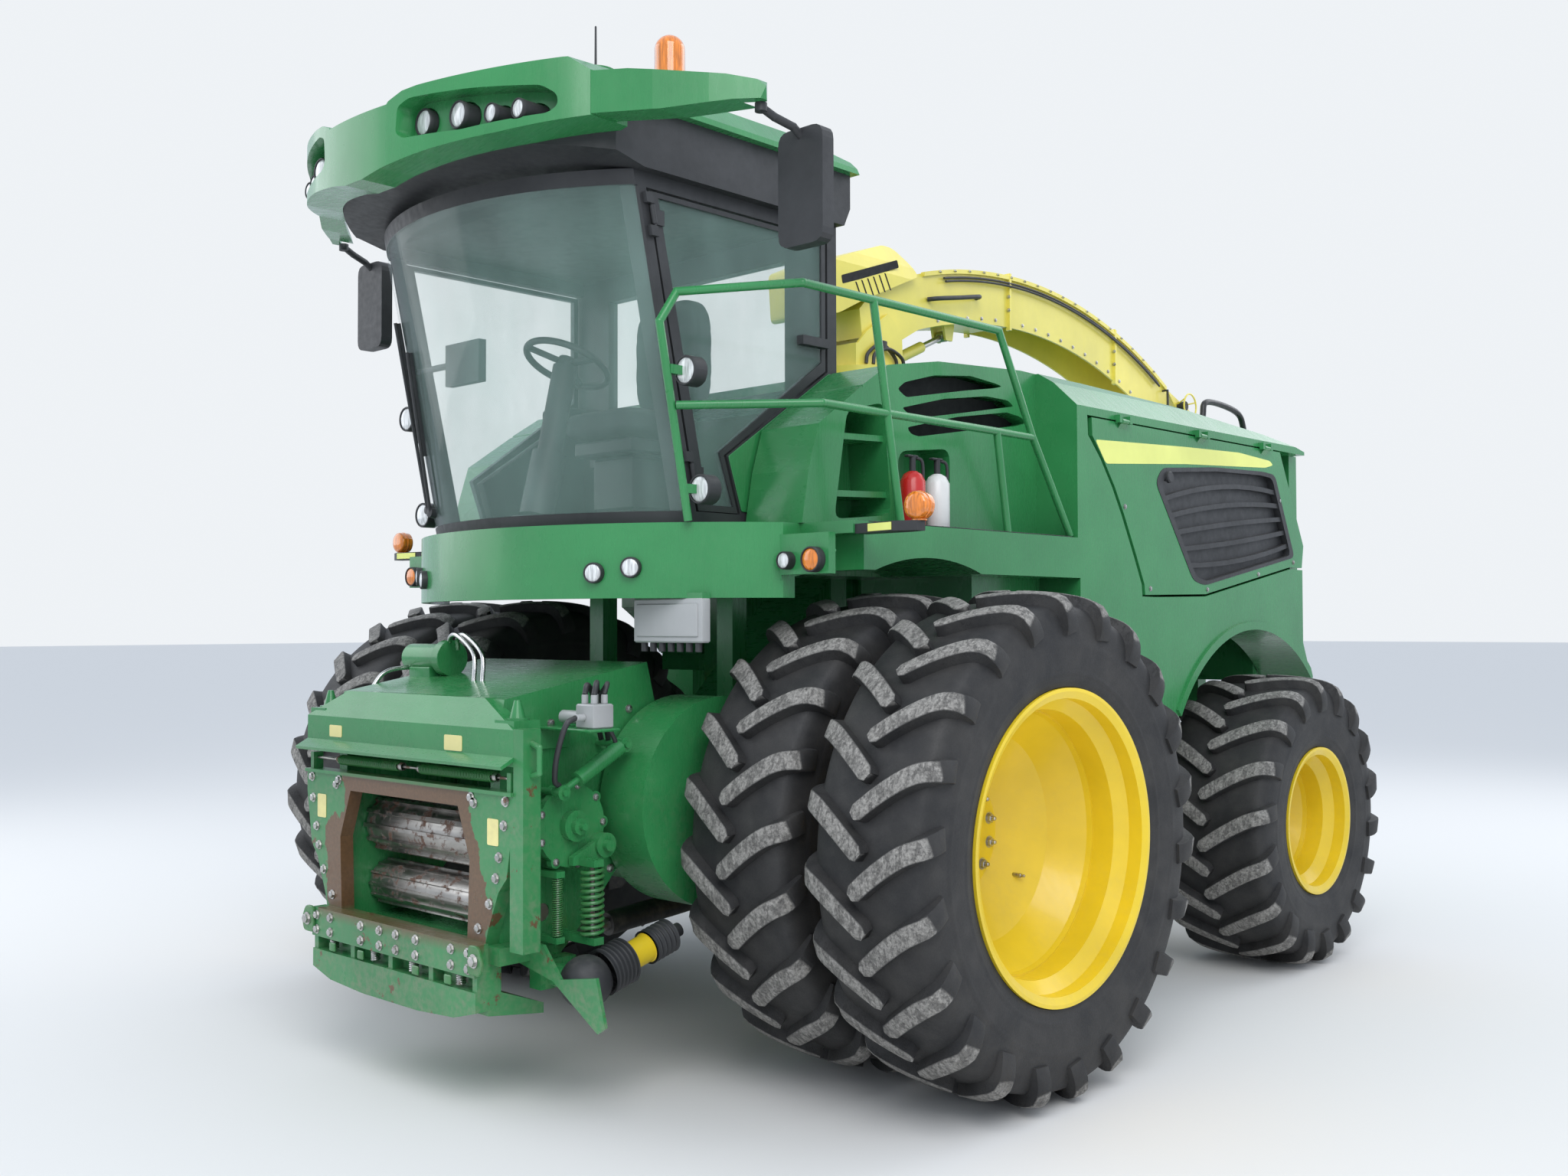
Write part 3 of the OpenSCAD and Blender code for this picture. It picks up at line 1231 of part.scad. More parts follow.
module spout_turret() color(yellow) place() {
    difference() {
        union() {
            translate([0, turret_y, turret_z + run_gap]) cylinder(d = turret_ring_d, h = 60 - run_gap);
            translate([0, turret_y, turret_z - 60]) cylinder(d = turret_tube_d + 50, h = 100);
        }
        translate([0, turret_y, turret_z - 70]) cylinder(d = turret_tube_d + 2 * run_gap, h = 70 + run_gap);
        translate([0, turret_y, turret_z - 70]) cylinder(d = turret_tube_d - 60, h = 300);
    }
    both_sides() side_plate([[turret_y - 190, turret_top_z - 1], [turret_y + 190, turret_top_z - 1],
        [turret_y + 180, 3450], [turret_y + 60, 3520], [turret_y - 120, 3400], [turret_y - 190, 3330]],
        spout_w / 2 + cheek_gap, cheek_t);
    both_sides() shaft(spout_w / 2 - duct_wall - 12, spout_w / 2 + cheek_gap + cheek_t, spout_hinge.x,
        spout_hinge.y, spout_pin_d);
    block(-spout_w / 2 - cheek_gap - cheek_t, spout_w / 2 + cheek_gap + cheek_t, turret_y - 206, turret_y - 190,
        turret_top_z - 1, 3330);
    both_sides() side_plate([[1380, turret_top_z - 1], [1490, turret_top_z - 1], [1460, 3300], [1400, 3300]],
        34, 16);
    shaft(-50, 50, jack_foot.x, jack_foot.y, jack_pin_d);
}

// Part of a ring round the spout's centre of curvature, from y0 to y1.
module arc_band(r0, r1, y0, y1, x0, t) intersection() {
    difference() {
        translate([x0, spout_cy, spout_cz]) rotate([0, 90, 0]) cylinder(r = r1, h = t, $fn = 360);
        translate([x0 - 10, spout_cy, spout_cz]) rotate([0, 90, 0]) cylinder(r = r0, h = t + 20, $fn = 360);
    }
    block(x0 - 1, x0 + t + 1, y0, y1, spout_cz + 1000, 5000);
}

// Curved box of the spout, open below behind its first half, with flanges and a hinged root.
module spout_arm() color(yellow) place() {
    hw = spout_w / 2;
    root_y = spout_y0 + 40;
    arc_band(spout_r - duct_wall, spout_r, spout_y0, spout_y1, -hw, spout_w);
    arc_band(spout_r - spout_h, spout_r - spout_h + duct_wall, spout_y0, 2440, -hw, spout_w);
    for (x = [-hw, hw - duct_wall])
        arc_band(spout_r - spout_h, spout_r, spout_y0, spout_y1, x, duct_wall);
    for (y = [2440, 3640])
        difference() {
            arc_band(spout_r - spout_h - 20, spout_r + 20, y, y + 20, -hw - 20, spout_w + 40);
            arc_band(spout_r - spout_h - 60, spout_r - duct_wall + 2, y - 5, y + 25, -hw + duct_wall - 2,
                spout_w - 2 * duct_wall + 4);
        }
    difference() {
        for (x = [-hw, hw - duct_wall])
            side_plate([[root_y, spout_z(spout_r, root_y) - 4], [1250, 3690], [1080, 3520], [1100, 3370],
                [1300, 3330], [root_y, spout_z(spout_r - spout_h, root_y) + 4]], x, duct_wall);
        shaft(-hw - 10, hw + 10, spout_hinge.x, spout_hinge.y, spout_pin_d + 2 * run_gap);
    }
    side_plate([[root_y, spout_z(spout_r, root_y) - 4], [1250, 3690], [1080, 3520], [1100, 3370],
        [1112, 3372], [1092, 3516], [1256, 3677], [root_y, spout_z(spout_r, root_y) - 17]], -hw, spout_w);
    both_sides() side_plate([[jack_eye.x - 50, spout_z(spout_r - spout_h, jack_eye.x - 50) + 6],
        [jack_eye.x - 30, jack_eye.y - 30], [jack_eye.x + 30, jack_eye.y - 30],
        [jack_eye.x + 50, spout_z(spout_r - spout_h, jack_eye.x + 50) + 6]], 34, 16);
    // Rolled flanges along the box's upper edges.
    for (x = [-hw - 18, hw - 8]) arc_band(spout_r - 18, spout_r + 6, spout_y0 + 60, spout_y1 - 20, x, 26);
    shaft(-50, 50, jack_eye.x, jack_eye.y, jack_pin_d);
    pin_ears(flap_hinge);
}

cover_half_w = 205;

// Box over the root of the spout: a rounded top, and skirts that lie on the arm's sides.
module sensor_cover() color(yellow) place() difference() {
    intersection() {
        side_plate(soft([[770, 3440], [750, 3700], [890, 3762], [1290, 3902], [1380, 3900], [1470, 3830],
            [1530, 3760],
            [1250, 3640], [1030, 3545], [850, 3455]], 34), -cover_half_w, 2 * cover_half_w);
        cross_plate(mirrored([[cover_half_w, 3400], [cover_half_w, 3730], [cover_half_w - 20, 3800],
            [cover_half_w - 75, 3905]]), 600, 1200);
    }
    block(-spout_w / 2 - seat_gap, spout_w / 2 + seat_gap, 1040, 1600, 3300, 3560);
    side_plate([[1080 - seat_gap, 3500], [1080 - seat_gap, 3520 + seat_gap], [1250 - seat_gap, 3690 + seat_gap],
        [spout_y0, spout_z(spout_r, spout_y0) + seat_gap], [spout_y0, 3500]],
            -spout_w / 2 - 20 - seat_gap, spout_w + 40 + 2 * seat_gap);
    arc_band(spout_r - spout_h, spout_r + 6 + seat_gap, spout_y0 - 1, 1900, -spout_w / 2 - 20, spout_w + 40);
}

flap_z0 = spout_z(spout_r, spout_y1);
tip_y0 = 4700;
tip_z0 = 3338;
flap_cheek_h = 140;
flap_t = 10;
flap_chamfer = 12;
flap_set_back = 14;
flap_pin_d = 16;
ear_x = 90;
ear_t = 14;
ear_eye_d = 24;
flap_hinge = [spout_y1 + 7, flap_z0 + 16];
tip_hinge = [tip_y0 - 7, tip_z0 + 16];

// Plate with two cheeks that are cut away below its hinge.
module flap_form(y0, z0, y1, z1, end_h) {
    side_plate([[y0 + flap_chamfer, z0 - flap_t], [y0, z0], [y1, z1], [y1, z1 - flap_t]],
        -spout_w / 2, spout_w);
    both_sides() side_plate([[y0 + flap_cheek_h, z0 - flap_cheek_h], [y0 + 2, z0 - 2], [y1, z1 - 2],
        [y1, z1 - end_h]],
        spout_w / 2 - flap_t, flap_t);
}

// Two ears that hold a flap's pin, on the piece in front of the hinge.
module pin_ears(h) both_sides() {
    side_plate([[h.x - 60, h.y - 18], [h.x - 12, h.y + 12], [h.x + 8, h.y + 12], [h.x + 8, h.y - 8],
        [h.x - 12, h.y - 24]],
        ear_x, ear_t);
    shaft(ear_x - 4, ear_x + 2 * ear_t + 10, h.x, h.y, flap_pin_d);
}

// Two bored ears of the flap behind the hinge.
module bored_ears(h) both_sides() difference() {
    union() {
        shaft(ear_x + ear_t + 4, ear_x + 2 * ear_t + 4, h.x, h.y, ear_eye_d);
        side_plate([[h.x + 60, h.y - 24], [h.x + 2, h.y + 9], [h.x + 2, h.y - 6], [h.x + 34, h.y - 24]],
            ear_x + ear_t + 4, ear_t);
    }
    shaft(ear_x, ear_x + 3 * ear_t, h.x, h.y, flap_pin_d + 2 * run_gap);
}

module spout_flap() color(yellow) place() {
    flap_form(flap_hinge.x + flap_set_back, flap_z0, tip_y0 - 14, tip_z0 + 3, flap_t + 2);
    bored_ears(flap_hinge);
    pin_ears(tip_hinge);
}

module spout_tip() color(yellow) place() {
    flap_form(tip_hinge.x + flap_set_back, tip_z0, spout_end_y, tip_z0 - 60, 60);
    bored_ears(tip_hinge);
}

function jack_at(s) = [0, jack_foot.x, jack_foot.y] + [0, jack_eye.x - jack_foot.x, jack_eye.y - jack_foot.y]
    / norm(jack_eye - jack_foot) * s;
jack_len = norm(jack_eye - jack_foot);

module spout_barrel() color(yellow) place() difference() {
    union() {
        shaft(-25, 25, jack_foot.x, jack_foot.y, 60);
        bar(jack_at(20), jack_at(400), 64);
    }
    shaft(-40, 40, jack_foot.x, jack_foot.y, jack_pin_d + 2 * run_gap);
    bar(jack_at(50), jack_at(420), 34 + 2 * run_gap);
}

module spout_rod() color(steel) place() difference() {
    union() {
        bar(jack_at(120), jack_at(jack_len - 24), 34);
        shaft(-25, 25, jack_eye.x, jack_eye.y, 64);
    }
    shaft(-40, 40, jack_eye.x, jack_eye.y, jack_pin_d + 20);
}

chassis_frame();
front_axle();
rear_axle();
engine_block();
cutter_housing();
feed_housing();
front_plate();
feed_gearcase();
upper_feed_roll();
lower_feed_roll();
lift_barrels();
lift_rods();
front_fascia();
cab_frame();
windshield();
cab_glass();
cab_door_left();
cab_window_right();
cab_roof();
roof_lamps();
mirrors();
seat();
cab_controls();
railing();
side_body_left();
side_body_right();
side_panel_left();
side_panel_right();
hood();
rear_body();
marker_arms();
extinguishers();
knuckle_left();
knuckle_right();
front_tyres_left();
front_tyres_right();
front_rims_left();
front_rims_right();
rear_tyre_left();
rear_tyre_right();
rear_rim_left();
rear_rim_right();
spout_turret();
spout_arm();
sensor_cover();
spout_flap();
spout_tip();
spout_barrel();
spout_rod();
door_glass_left();
window_glass_right();
visor_wings();
work_lamps();
louvre_left();
louvre_right();
feed_springs();
drive_guard();
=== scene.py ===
"""Forage harvester with dual front wheels: its looks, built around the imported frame.

Metres, +Z up, -Y forward, +X to the machine's left, with the origin on the ground at mid length.
"""

import json
import logging
import math
from collections.abc import Sequence
from dataclasses import dataclass
from enum import Enum

import bpy
import numpy as np
from mathutils import Matrix, Vector


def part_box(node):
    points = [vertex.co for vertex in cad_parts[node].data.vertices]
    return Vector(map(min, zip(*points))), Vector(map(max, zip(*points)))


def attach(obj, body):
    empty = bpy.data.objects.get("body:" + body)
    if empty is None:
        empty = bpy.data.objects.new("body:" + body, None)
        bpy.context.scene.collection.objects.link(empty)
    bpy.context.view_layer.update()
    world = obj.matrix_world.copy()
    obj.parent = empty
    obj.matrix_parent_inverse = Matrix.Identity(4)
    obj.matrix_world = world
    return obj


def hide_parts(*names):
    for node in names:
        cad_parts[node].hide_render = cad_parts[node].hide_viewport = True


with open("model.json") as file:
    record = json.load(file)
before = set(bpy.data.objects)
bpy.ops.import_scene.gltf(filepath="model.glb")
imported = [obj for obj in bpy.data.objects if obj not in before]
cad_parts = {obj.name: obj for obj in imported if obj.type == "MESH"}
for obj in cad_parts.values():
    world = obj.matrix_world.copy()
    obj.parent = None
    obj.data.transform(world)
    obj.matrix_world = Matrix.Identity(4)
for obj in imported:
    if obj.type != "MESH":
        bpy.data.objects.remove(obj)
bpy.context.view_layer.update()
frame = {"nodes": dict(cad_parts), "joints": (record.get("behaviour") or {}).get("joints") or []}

log = logging.getLogger("harvester")
Colour = tuple[float, float, float]
Point = tuple[float, float, float]
Flat = tuple[float, float]


class Axis(Enum):
    """The row axis that a turned or extruded shape runs along, with the columns of its outline."""

    X = (0, 1, 2)
    Y = (1, 0, 2)
    Z = (2, 0, 1)


def joint_place(name: str) -> np.ndarray:
    """Gives a joint's place in the frame.

    Args:
        name: the joint's name in the record.

    Returns:
        Its point, in metres.
    """
    found = next(j for j in frame["joints"] if j["name"] == name)
    return np.array(found["pos_m"], float)


FRONT_AXLE_Y = float(joint_place("front_left_roll")[1])


def at(x: float, y: float, z: float) -> Point:
    """Moves a point that is counted from the front axle into the frame."""
    return (x, y + FRONT_AXLE_Y, z)


def side_view(outline: Sequence[Flat]) -> list[Flat]:
    """Moves an outline of (y, z) pairs that is counted from the front axle into the frame."""
    return [(y + FRONT_AXLE_Y, z) for y, z in outline]


def signed_power(base: np.ndarray, exponent: float) -> np.ndarray:
    """Raises sizes to a power and keeps their signs, as a superellipsoid needs."""
    return np.sign(base) * np.abs(base) ** exponent


@dataclass
class Shell:
    """One surface, or several joined, kept as whole arrays.

    Attributes:
        points: (n, 3) places in metres.
        faces: arrays of polygons, one for each number of corners.
        wear: (n,) share of dust or wear on each point, which a finish may read.
    """

    points: np.ndarray
    faces: list[np.ndarray]
    wear: np.ndarray | None = None

    def moved(self, shift: Sequence[float]) -> "Shell":
        """Gives the surface moved by a vector."""
        return Shell(self.points + np.asarray(shift, float), self.faces, self.wear)

    def turned(self, axis: Sequence[float], angle: float, centre: Sequence[float] = (0, 0, 0)) -> "Shell":
        """Turns the surface about a line.

        Args:
            axis: direction of the line.
            angle: angle in degrees.
            centre: a point on the line.

        Returns:
            The turned surface.
        """
        turn = np.array(Matrix.Rotation(math.radians(angle), 3, Vector(axis)))
        middle = np.asarray(centre, float)
        return Shell((self.points - middle) @ turn.T + middle, self.faces, self.wear)

    def mirrored(self) -> "Shell":
        """Gives the surface of the machine's other side, with its faces still pointing out."""
        return Shell(self.points * (-1, 1, 1), [f[:, ::-1] for f in self.faces], self.wear)

    def both(self) -> "Shell":
        """Gives the surface and its mirror image together."""
        return join(self, self.mirrored())

    def copies(self, places: np.ndarray) -> "Shell":
        """Repeats the surface at many places, as one array product.

        Args:
            places: (k, 3) shifts.

        Returns:
            The k copies, joined.
        """
        shifts = np.asarray(places, float).reshape(-1, 3)
        count, size = len(shifts), len(self.points)
        points = (self.points[None] + shifts[:, None]).reshape(-1, 3)
        steps = np.arange(count)[:, None, None] * size
        faces = [(f[None] + steps).reshape(-1, f.shape[1]) for f in self.faces]
        return Shell(points, faces, None if self.wear is None else np.tile(self.wear, count))

    def spun(self, axis: Sequence[float], centre: Sequence[float], angles: np.ndarray) -> "Shell":
        """Repeats the surface about a line, one copy for each angle in degrees."""
        return join(*[self.turned(axis, a, centre) for a in angles])


def join(*shells: Shell) -> Shell:
    """Puts several surfaces into one, with their faces counted on."""
    starts = np.cumsum([0] + [len(s.points) for s in shells])
    points = np.concatenate([s.points for s in shells])
    faces = [f + n for s, n in zip(shells, starts) for f in s.faces]
    wear = np.concatenate([np.zeros(len(s.points)) if s.wear is None else s.wear for s in shells])
    return Shell(points, faces, wear)


def grid(points: np.ndarray, around: bool = False, caps: bool = False) -> Shell:
    """Makes the surface of a grid of points.

    Args:
        points: (rows, columns, 3) places.
        around: True joins the last column to the first.
        caps: True closes the first and last row with a polygon each.

    Returns:
        The surface, its faces pointing to the right of the rows' way along the columns.
    """
    rows, cols = points.shape[:2]
    i, j = np.meshgrid(np.arange(rows - 1), np.arange(cols if around else cols - 1), indexing="ij")
    i2, j2 = i + 1, (j + 1) % cols
    quads = np.stack([i * cols + j, i * cols + j2, i2 * cols + j2, i2 * cols + j], -1).reshape(-1, 4)
    faces = [quads]
    if caps:
        faces += [np.arange(cols)[None, ::-1], (rows - 1) * cols + np.arange(cols)[None]]
    return Shell(points.reshape(-1, 3).astype(float), faces)


def curve_through(knots: Sequence[Sequence[float]], count: int) -> np.ndarray:
    """Draws a smooth curve through knots: a Catmull-Rom cubic between each pair.

    Args:
        knots: the points that the curve passes.
        count: number of points on the curve.

    Returns:
        (count, d) points.
    """
    k = np.asarray(knots, float)
    k = np.vstack([2 * k[0] - k[1], k, 2 * k[-1] - k[-2]])
    spans = len(k) - 3
    t = np.linspace(0, spans, count)
    i = np.minimum(t.astype(int), spans - 1)
    f = (t - i)[:, None]
    a, b, c, d = k[i], k[i + 1], k[i + 2], k[i + 3]
    return 0.5 * (2 * b + (c - a) * f + (2 * a - 5 * b + 4 * c - d) * f**2 + (3 * b - a - 3 * c + d) * f**3)


def rounded(outline: Sequence[Flat], radius: float, steps: int = 5) -> np.ndarray:
    """Rounds the corners of a closed outline with a quadratic arc from side to side.

    Args:
        outline: the corners, in order.
        radius: distance from a corner at which its arc starts, cut to 0.45 of the shorter side.
        steps: points on each arc.

    Returns:
        (corners x steps, 2) points.
    """
    p = np.asarray(outline, float)
    before, after = np.roll(p, 1, 0) - p, np.roll(p, -1, 0) - p
    lb, la = np.linalg.norm(before, axis=1), np.linalg.norm(after, axis=1)
    r = np.minimum(radius, 0.45 * np.minimum(lb, la))[:, None]
    start, end = p + before / lb[:, None] * r, p + after / la[:, None] * r
    t = np.linspace(0, 1, steps)[None, :, None]
    return ((1 - t) ** 2 * start[:, None] + 2 * t * (1 - t) * p[:, None] + t**2 * end[:, None]).reshape(-1, 2)


def inset(outline: np.ndarray, gap: float) -> np.ndarray:
    """Moves each point of a closed outline inwards along its mitred normal."""
    side = np.roll(outline, -1, 0) - outline
    side = side / np.maximum(np.linalg.norm(side, axis=1), 1e-9)[:, None]
    normal = np.stack([-side[:, 1], side[:, 0]], 1)
    both = normal + np.roll(normal, 1, 0)
    both /= np.maximum(np.linalg.norm(both, axis=1), 1e-6)[:, None]
    reach = gap / np.clip((both * normal).sum(1), 0.4, 1)
    return outline + both * reach[:, None]


def plate(outline: Sequence[Flat], axis: Axis, low: float, high: float, edge: float = 0.003) -> Shell:
    """Extrudes an outline, with its rims bevelled: four rings, from an inset one to an inset one.

    Args:
        outline: closed outline in the two columns that the axis leaves.
        axis: the axis that it is extruded along.
        low: where it starts on that axis.
        high: where it ends.
        edge: width of the bevel.

    Returns:
        The closed plate.
    """
    p = np.asarray(outline, float)
    q = np.roll(p, -1, 0)
    if (p[:, 0] * q[:, 1] - q[:, 0] * p[:, 1]).sum() < 0:
        p = p[::-1]
    inner = inset(p, edge)
    rings = [(inner, low), (p, low + edge), (p, high - edge), (inner, high)]
    along, first, second = axis.value
    points = np.zeros((4, len(p), 3))
    for k, (ring, place) in enumerate(rings):
        points[k, :, first] = ring[:, 0]
        points[k, :, second] = ring[:, 1]
        points[k, :, along] = place
    shell = grid(points, around=True, caps=True)
    if axis is Axis.Y:
        shell.faces = [f[:, ::-1] for f in shell.faces]
    return shell


def box(low: Sequence[float], high: Sequence[float], edge: float = 0.004) -> Shell:
    """Makes a block with bevelled edges between two corners."""
    (x0, y0, z0), (x1, y1, z1) = low, high
    outline = rounded([(x0, y0), (x1, y0), (x1, y1), (x0, y1)], edge, 3)
    return plate(outline, Axis.Z, z0, z1, edge)


def revolve(profile: Sequence[Flat], axis: Axis = Axis.Z, centre: Sequence[float] = (0, 0, 0),
            count: int = 48) -> Shell:
    """Turns a profile about an axis: each (along, radius) pair becomes a ring.

    Args:
        profile: pairs of distance along the axis and radius.
        axis: the axis that it is turned about.
        centre: the point that distances are counted from.
        count: points on each ring.

    Returns:
        The surface. A radius of 0 closes it at a pole.
    """
    p = np.asarray(profile, float)
    turn = np.linspace(0, 2 * math.pi, count, endpoint=False)
    along, first, second = axis.value
    points = np.zeros((len(p), count, 3))
    points[:, :, along] = p[:, :1]
    points[:, :, first] = p[:, 1:] * np.cos(turn)
    points[:, :, second] = p[:, 1:] * np.sin(turn)
    shell = grid(points + np.asarray(centre, float), around=True)
    if axis is Axis.Y:
        shell.faces = [f[:, ::-1] for f in shell.faces]
    return shell


def circle(radius: float, count: int) -> np.ndarray:
    """Gives the points of a circle round the origin, as pairs."""
    turn = np.linspace(0, 2 * math.pi, count, endpoint=False)
    return radius * np.stack([np.cos(turn), np.sin(turn)], 1)


def sweep(path: np.ndarray, profile: np.ndarray, up: Sequence[float] = (0, 0, 1)) -> Shell:
    """Carries a closed profile along a path, upright to it.

    Args:
        path: (n, 3) points.
        profile: (m, 2) points: sideways and upwards.
        up: direction that the profile's second column leans to.

    Returns:
        The closed surface: at each point of the path, side times the first column plus rise times the
        second.
    """
    p = np.asarray(path, float)
    way = np.gradient(p, axis=0)
    way /= np.maximum(np.linalg.norm(way, axis=1), 1e-9)[:, None]
    side = np.cross(way, np.asarray(up, float))
    side /= np.maximum(np.linalg.norm(side, axis=1), 1e-9)[:, None]
    rise = np.cross(side, way)
    points = p[:, None] + side[:, None] * profile[None, :, :1] + rise[:, None] * profile[None, :, 1:]
    return grid(points, around=True, caps=True)


def pipe(knots: Sequence[Point], radius: float, count: int = 24, sides: int = 10) -> Shell:
    """Makes a round pipe along a smooth curve through knots."""
    path = curve_through(knots, count)
    way = np.abs(np.gradient(path, axis=0)).sum(0)
    up = np.eye(3)[int(np.argmin(way))]
    return sweep(path, circle(radius, sides), up)


def coil(start: Point, end: Point, radius: float, wire: float, turns: float, steps: int = 16,
         sides: int = 8) -> Shell:
    """Winds a wire round a line: its path goes round by a full angle for each turn while it moves along.

    Args:
        start: one end of the line.
        end: its other end.
        radius: radius of the wire's middle.
        wire: radius of the wire.
        turns: number of turns.
        steps: points for each turn.
        sides: points round the wire.

    Returns:
        The spring's surface.
    """
    a, b = np.asarray(start, float), np.asarray(end, float)
    way = (b - a) / np.linalg.norm(b - a)
    first = np.cross(way, (0.3, 0.5, 0.81))
    first /= np.linalg.norm(first)
    second = np.cross(way, first)
    t = np.linspace(0, 1, int(turns * steps))[:, None]
    angle = t * turns * 2 * math.pi
    path = a + (b - a) * t + radius * (np.cos(angle) * first + np.sin(angle) * second)
    return sweep(path, circle(wire, sides), way)


def tube_through(knots: Sequence[Point], radius: float, count: int, sides: int = 10) -> Shell:
    """Makes a round pipe through knots that are counted from the front axle."""
    return pipe([at(*knot) for knot in knots], radius, count, sides)


def aimed(shell: Shell, way: Sequence[float], place: Sequence[float] = (0, 0, 0)) -> Shell:
    """Turns a surface that stands along z so that it stands along a direction, then moves it to a place."""
    turn = np.array(Vector((0, 0, 1)).rotation_difference(Vector(way)).to_matrix())
    return Shell(shell.points @ turn.T + np.asarray(place, float), shell.faces, shell.wear)


def rod(start: Point, end: Point, radius: float, sides: int = 20, edge: float = 0.002) -> Shell:
    """Makes a round bar between two points, its ends bevelled."""
    a, b = np.asarray(start, float), np.asarray(end, float)
    way = b - a
    length = float(np.linalg.norm(way))
    profile = [(0, 0), (0, radius - edge), (edge, radius), (length - edge, radius), (length, radius - edge),
               (length, 0)]
    return aimed(revolve(profile, count=sides), way, a)


def bolts(places: np.ndarray, way: Sequence[float], size: float, height: float) -> Shell:
    """Puts a hexagon head on a washer at each place.

    Args:
        places: (k, 3) points on the surface that carries the bolts.
        way: direction that the heads stand out in.
        size: radius over the corners.
        height: height of the head.

    Returns:
        All heads, joined.
    """
    washer = revolve([(0, size * 1.35), (height * 0.25, size * 1.35), (height * 0.25, size * 0.8)], count=16)
    head = revolve([(height * 0.25, size), (height * 0.9, size), (height, size * 0.85), (height, 0)], count=6)
    return aimed(join(washer, head), way).copies(places)


class NodeSheet:
    """Lays out the nodes of one material round a Principled shader."""

    def __init__(self, name: str) -> None:
        """Starts a material of that name."""
        self.material = bpy.data.materials.new(name)
        self.material.use_nodes = True
        self.tree = self.material.node_tree
        self.shader = self.tree.nodes["Principled BSDF"]
        self.place = self.tree.nodes.new("ShaderNodeTexCoord").outputs["Object"]

    def _put(self, socket: bpy.types.NodeSocket, value: object) -> None:
        """Links a socket, or sets its default."""
        if isinstance(value, bpy.types.NodeSocket):
            self.tree.links.new(value, socket)
        else:
            socket.default_value = value

    def set(self, **values: object) -> None:
        """Sets the shader's sockets, an underscore standing for a space in a name."""
        for key, value in values.items():
            if isinstance(value, tuple) and len(value) == 3:
                value = (*value, 1.0)
            self._put(self.shader.inputs[key.replace("_", " ")], value)

    def noise(self, scale: float, detail: float = 4.0, stretch: Point = (1, 1, 1),
              rough: float = 0.55) -> bpy.types.NodeSocket:
        """Adds a noise on object coordinates, stretched along the axes, and gives its value."""
        mapping = self.tree.nodes.new("ShaderNodeMapping")
        mapping.inputs["Scale"].default_value = stretch
        self.tree.links.new(self.place, mapping.inputs["Vector"])
        node = self.tree.nodes.new("ShaderNodeTexNoise")
        node.inputs["Scale"].default_value = scale
        node.inputs["Detail"].default_value = detail
        node.inputs["Roughness"].default_value = rough
        self.tree.links.new(mapping.outputs[0], node.inputs["Vector"])
        return node.outputs["Fac"]

    def part(self, index: int) -> bpy.types.NodeSocket:
        """Gives one of the three object coordinates."""
        node = self.tree.nodes.new("ShaderNodeSeparateXYZ")
        self.tree.links.new(self.place, node.inputs[0])
        return node.outputs[index]

    def wear(self) -> bpy.types.NodeSocket:
        """Gives the share of wear that a piece has on its points."""
        node = self.tree.nodes.new("ShaderNodeAttribute")
        node.attribute_name = "wear"
        return node.outputs["Fac"]

    def upward(self) -> bpy.types.NodeSocket:
        """Gives how far the surface faces up, from -1 to 1."""
        geometry = self.tree.nodes.new("ShaderNodeNewGeometry")
        split = self.tree.nodes.new("ShaderNodeSeparateXYZ")
        self.tree.links.new(geometry.outputs["Normal"], split.inputs[0])
        return split.outputs[2]

    def span(self, value: object, low: float, high: float, to_low: float = 0.0,
             to_high: float = 1.0) -> bpy.types.NodeSocket:
        """Maps low..high to to_low..to_high, held at both ends."""
        node = self.tree.nodes.new("ShaderNodeMapRange")
        for key, number in zip((1, 2, 3, 4), (low, high, to_low, to_high)):
            node.inputs[key].default_value = number
        self._put(node.inputs[0], value)
        return node.outputs[0]

    def sum(self, operation: str, first: object, second: object = 0.0) -> bpy.types.NodeSocket:
        """Adds a Math node of that operation."""
        node = self.tree.nodes.new("ShaderNodeMath")
        node.operation = operation
        self._put(node.inputs[0], first)
        self._put(node.inputs[1], second)
        return node.outputs[0]

    def blend(self, share: object, first: object, second: object) -> bpy.types.NodeSocket:
        """Mixes two colours by a share."""
        node = self.tree.nodes.new("ShaderNodeMix")
        node.data_type = "RGBA"
        self._put(node.inputs[0], share)
        for key, colour in ((6, first), (7, second)):
            self._put(node.inputs[key], (*colour, 1.0) if isinstance(colour, tuple) else colour)
        return node.outputs[2]

    def relief(self, height: object, depth: float, strength: float = 1.0) -> None:
        """Bumps the surface by a height that is worth depth metres at 1."""
        node = self.tree.nodes.new("ShaderNodeBump")
        node.inputs["Strength"].default_value = strength
        node.inputs["Distance"].default_value = depth
        self._put(node.inputs["Height"], height)
        if self.shader.inputs["Normal"].is_linked:
            self.tree.links.new(self.shader.inputs["Normal"].links[0].from_socket, node.inputs["Normal"])
        self.tree.links.new(node.outputs[0], self.shader.inputs["Normal"])


DUST: Colour = (0.30, 0.26, 0.20)


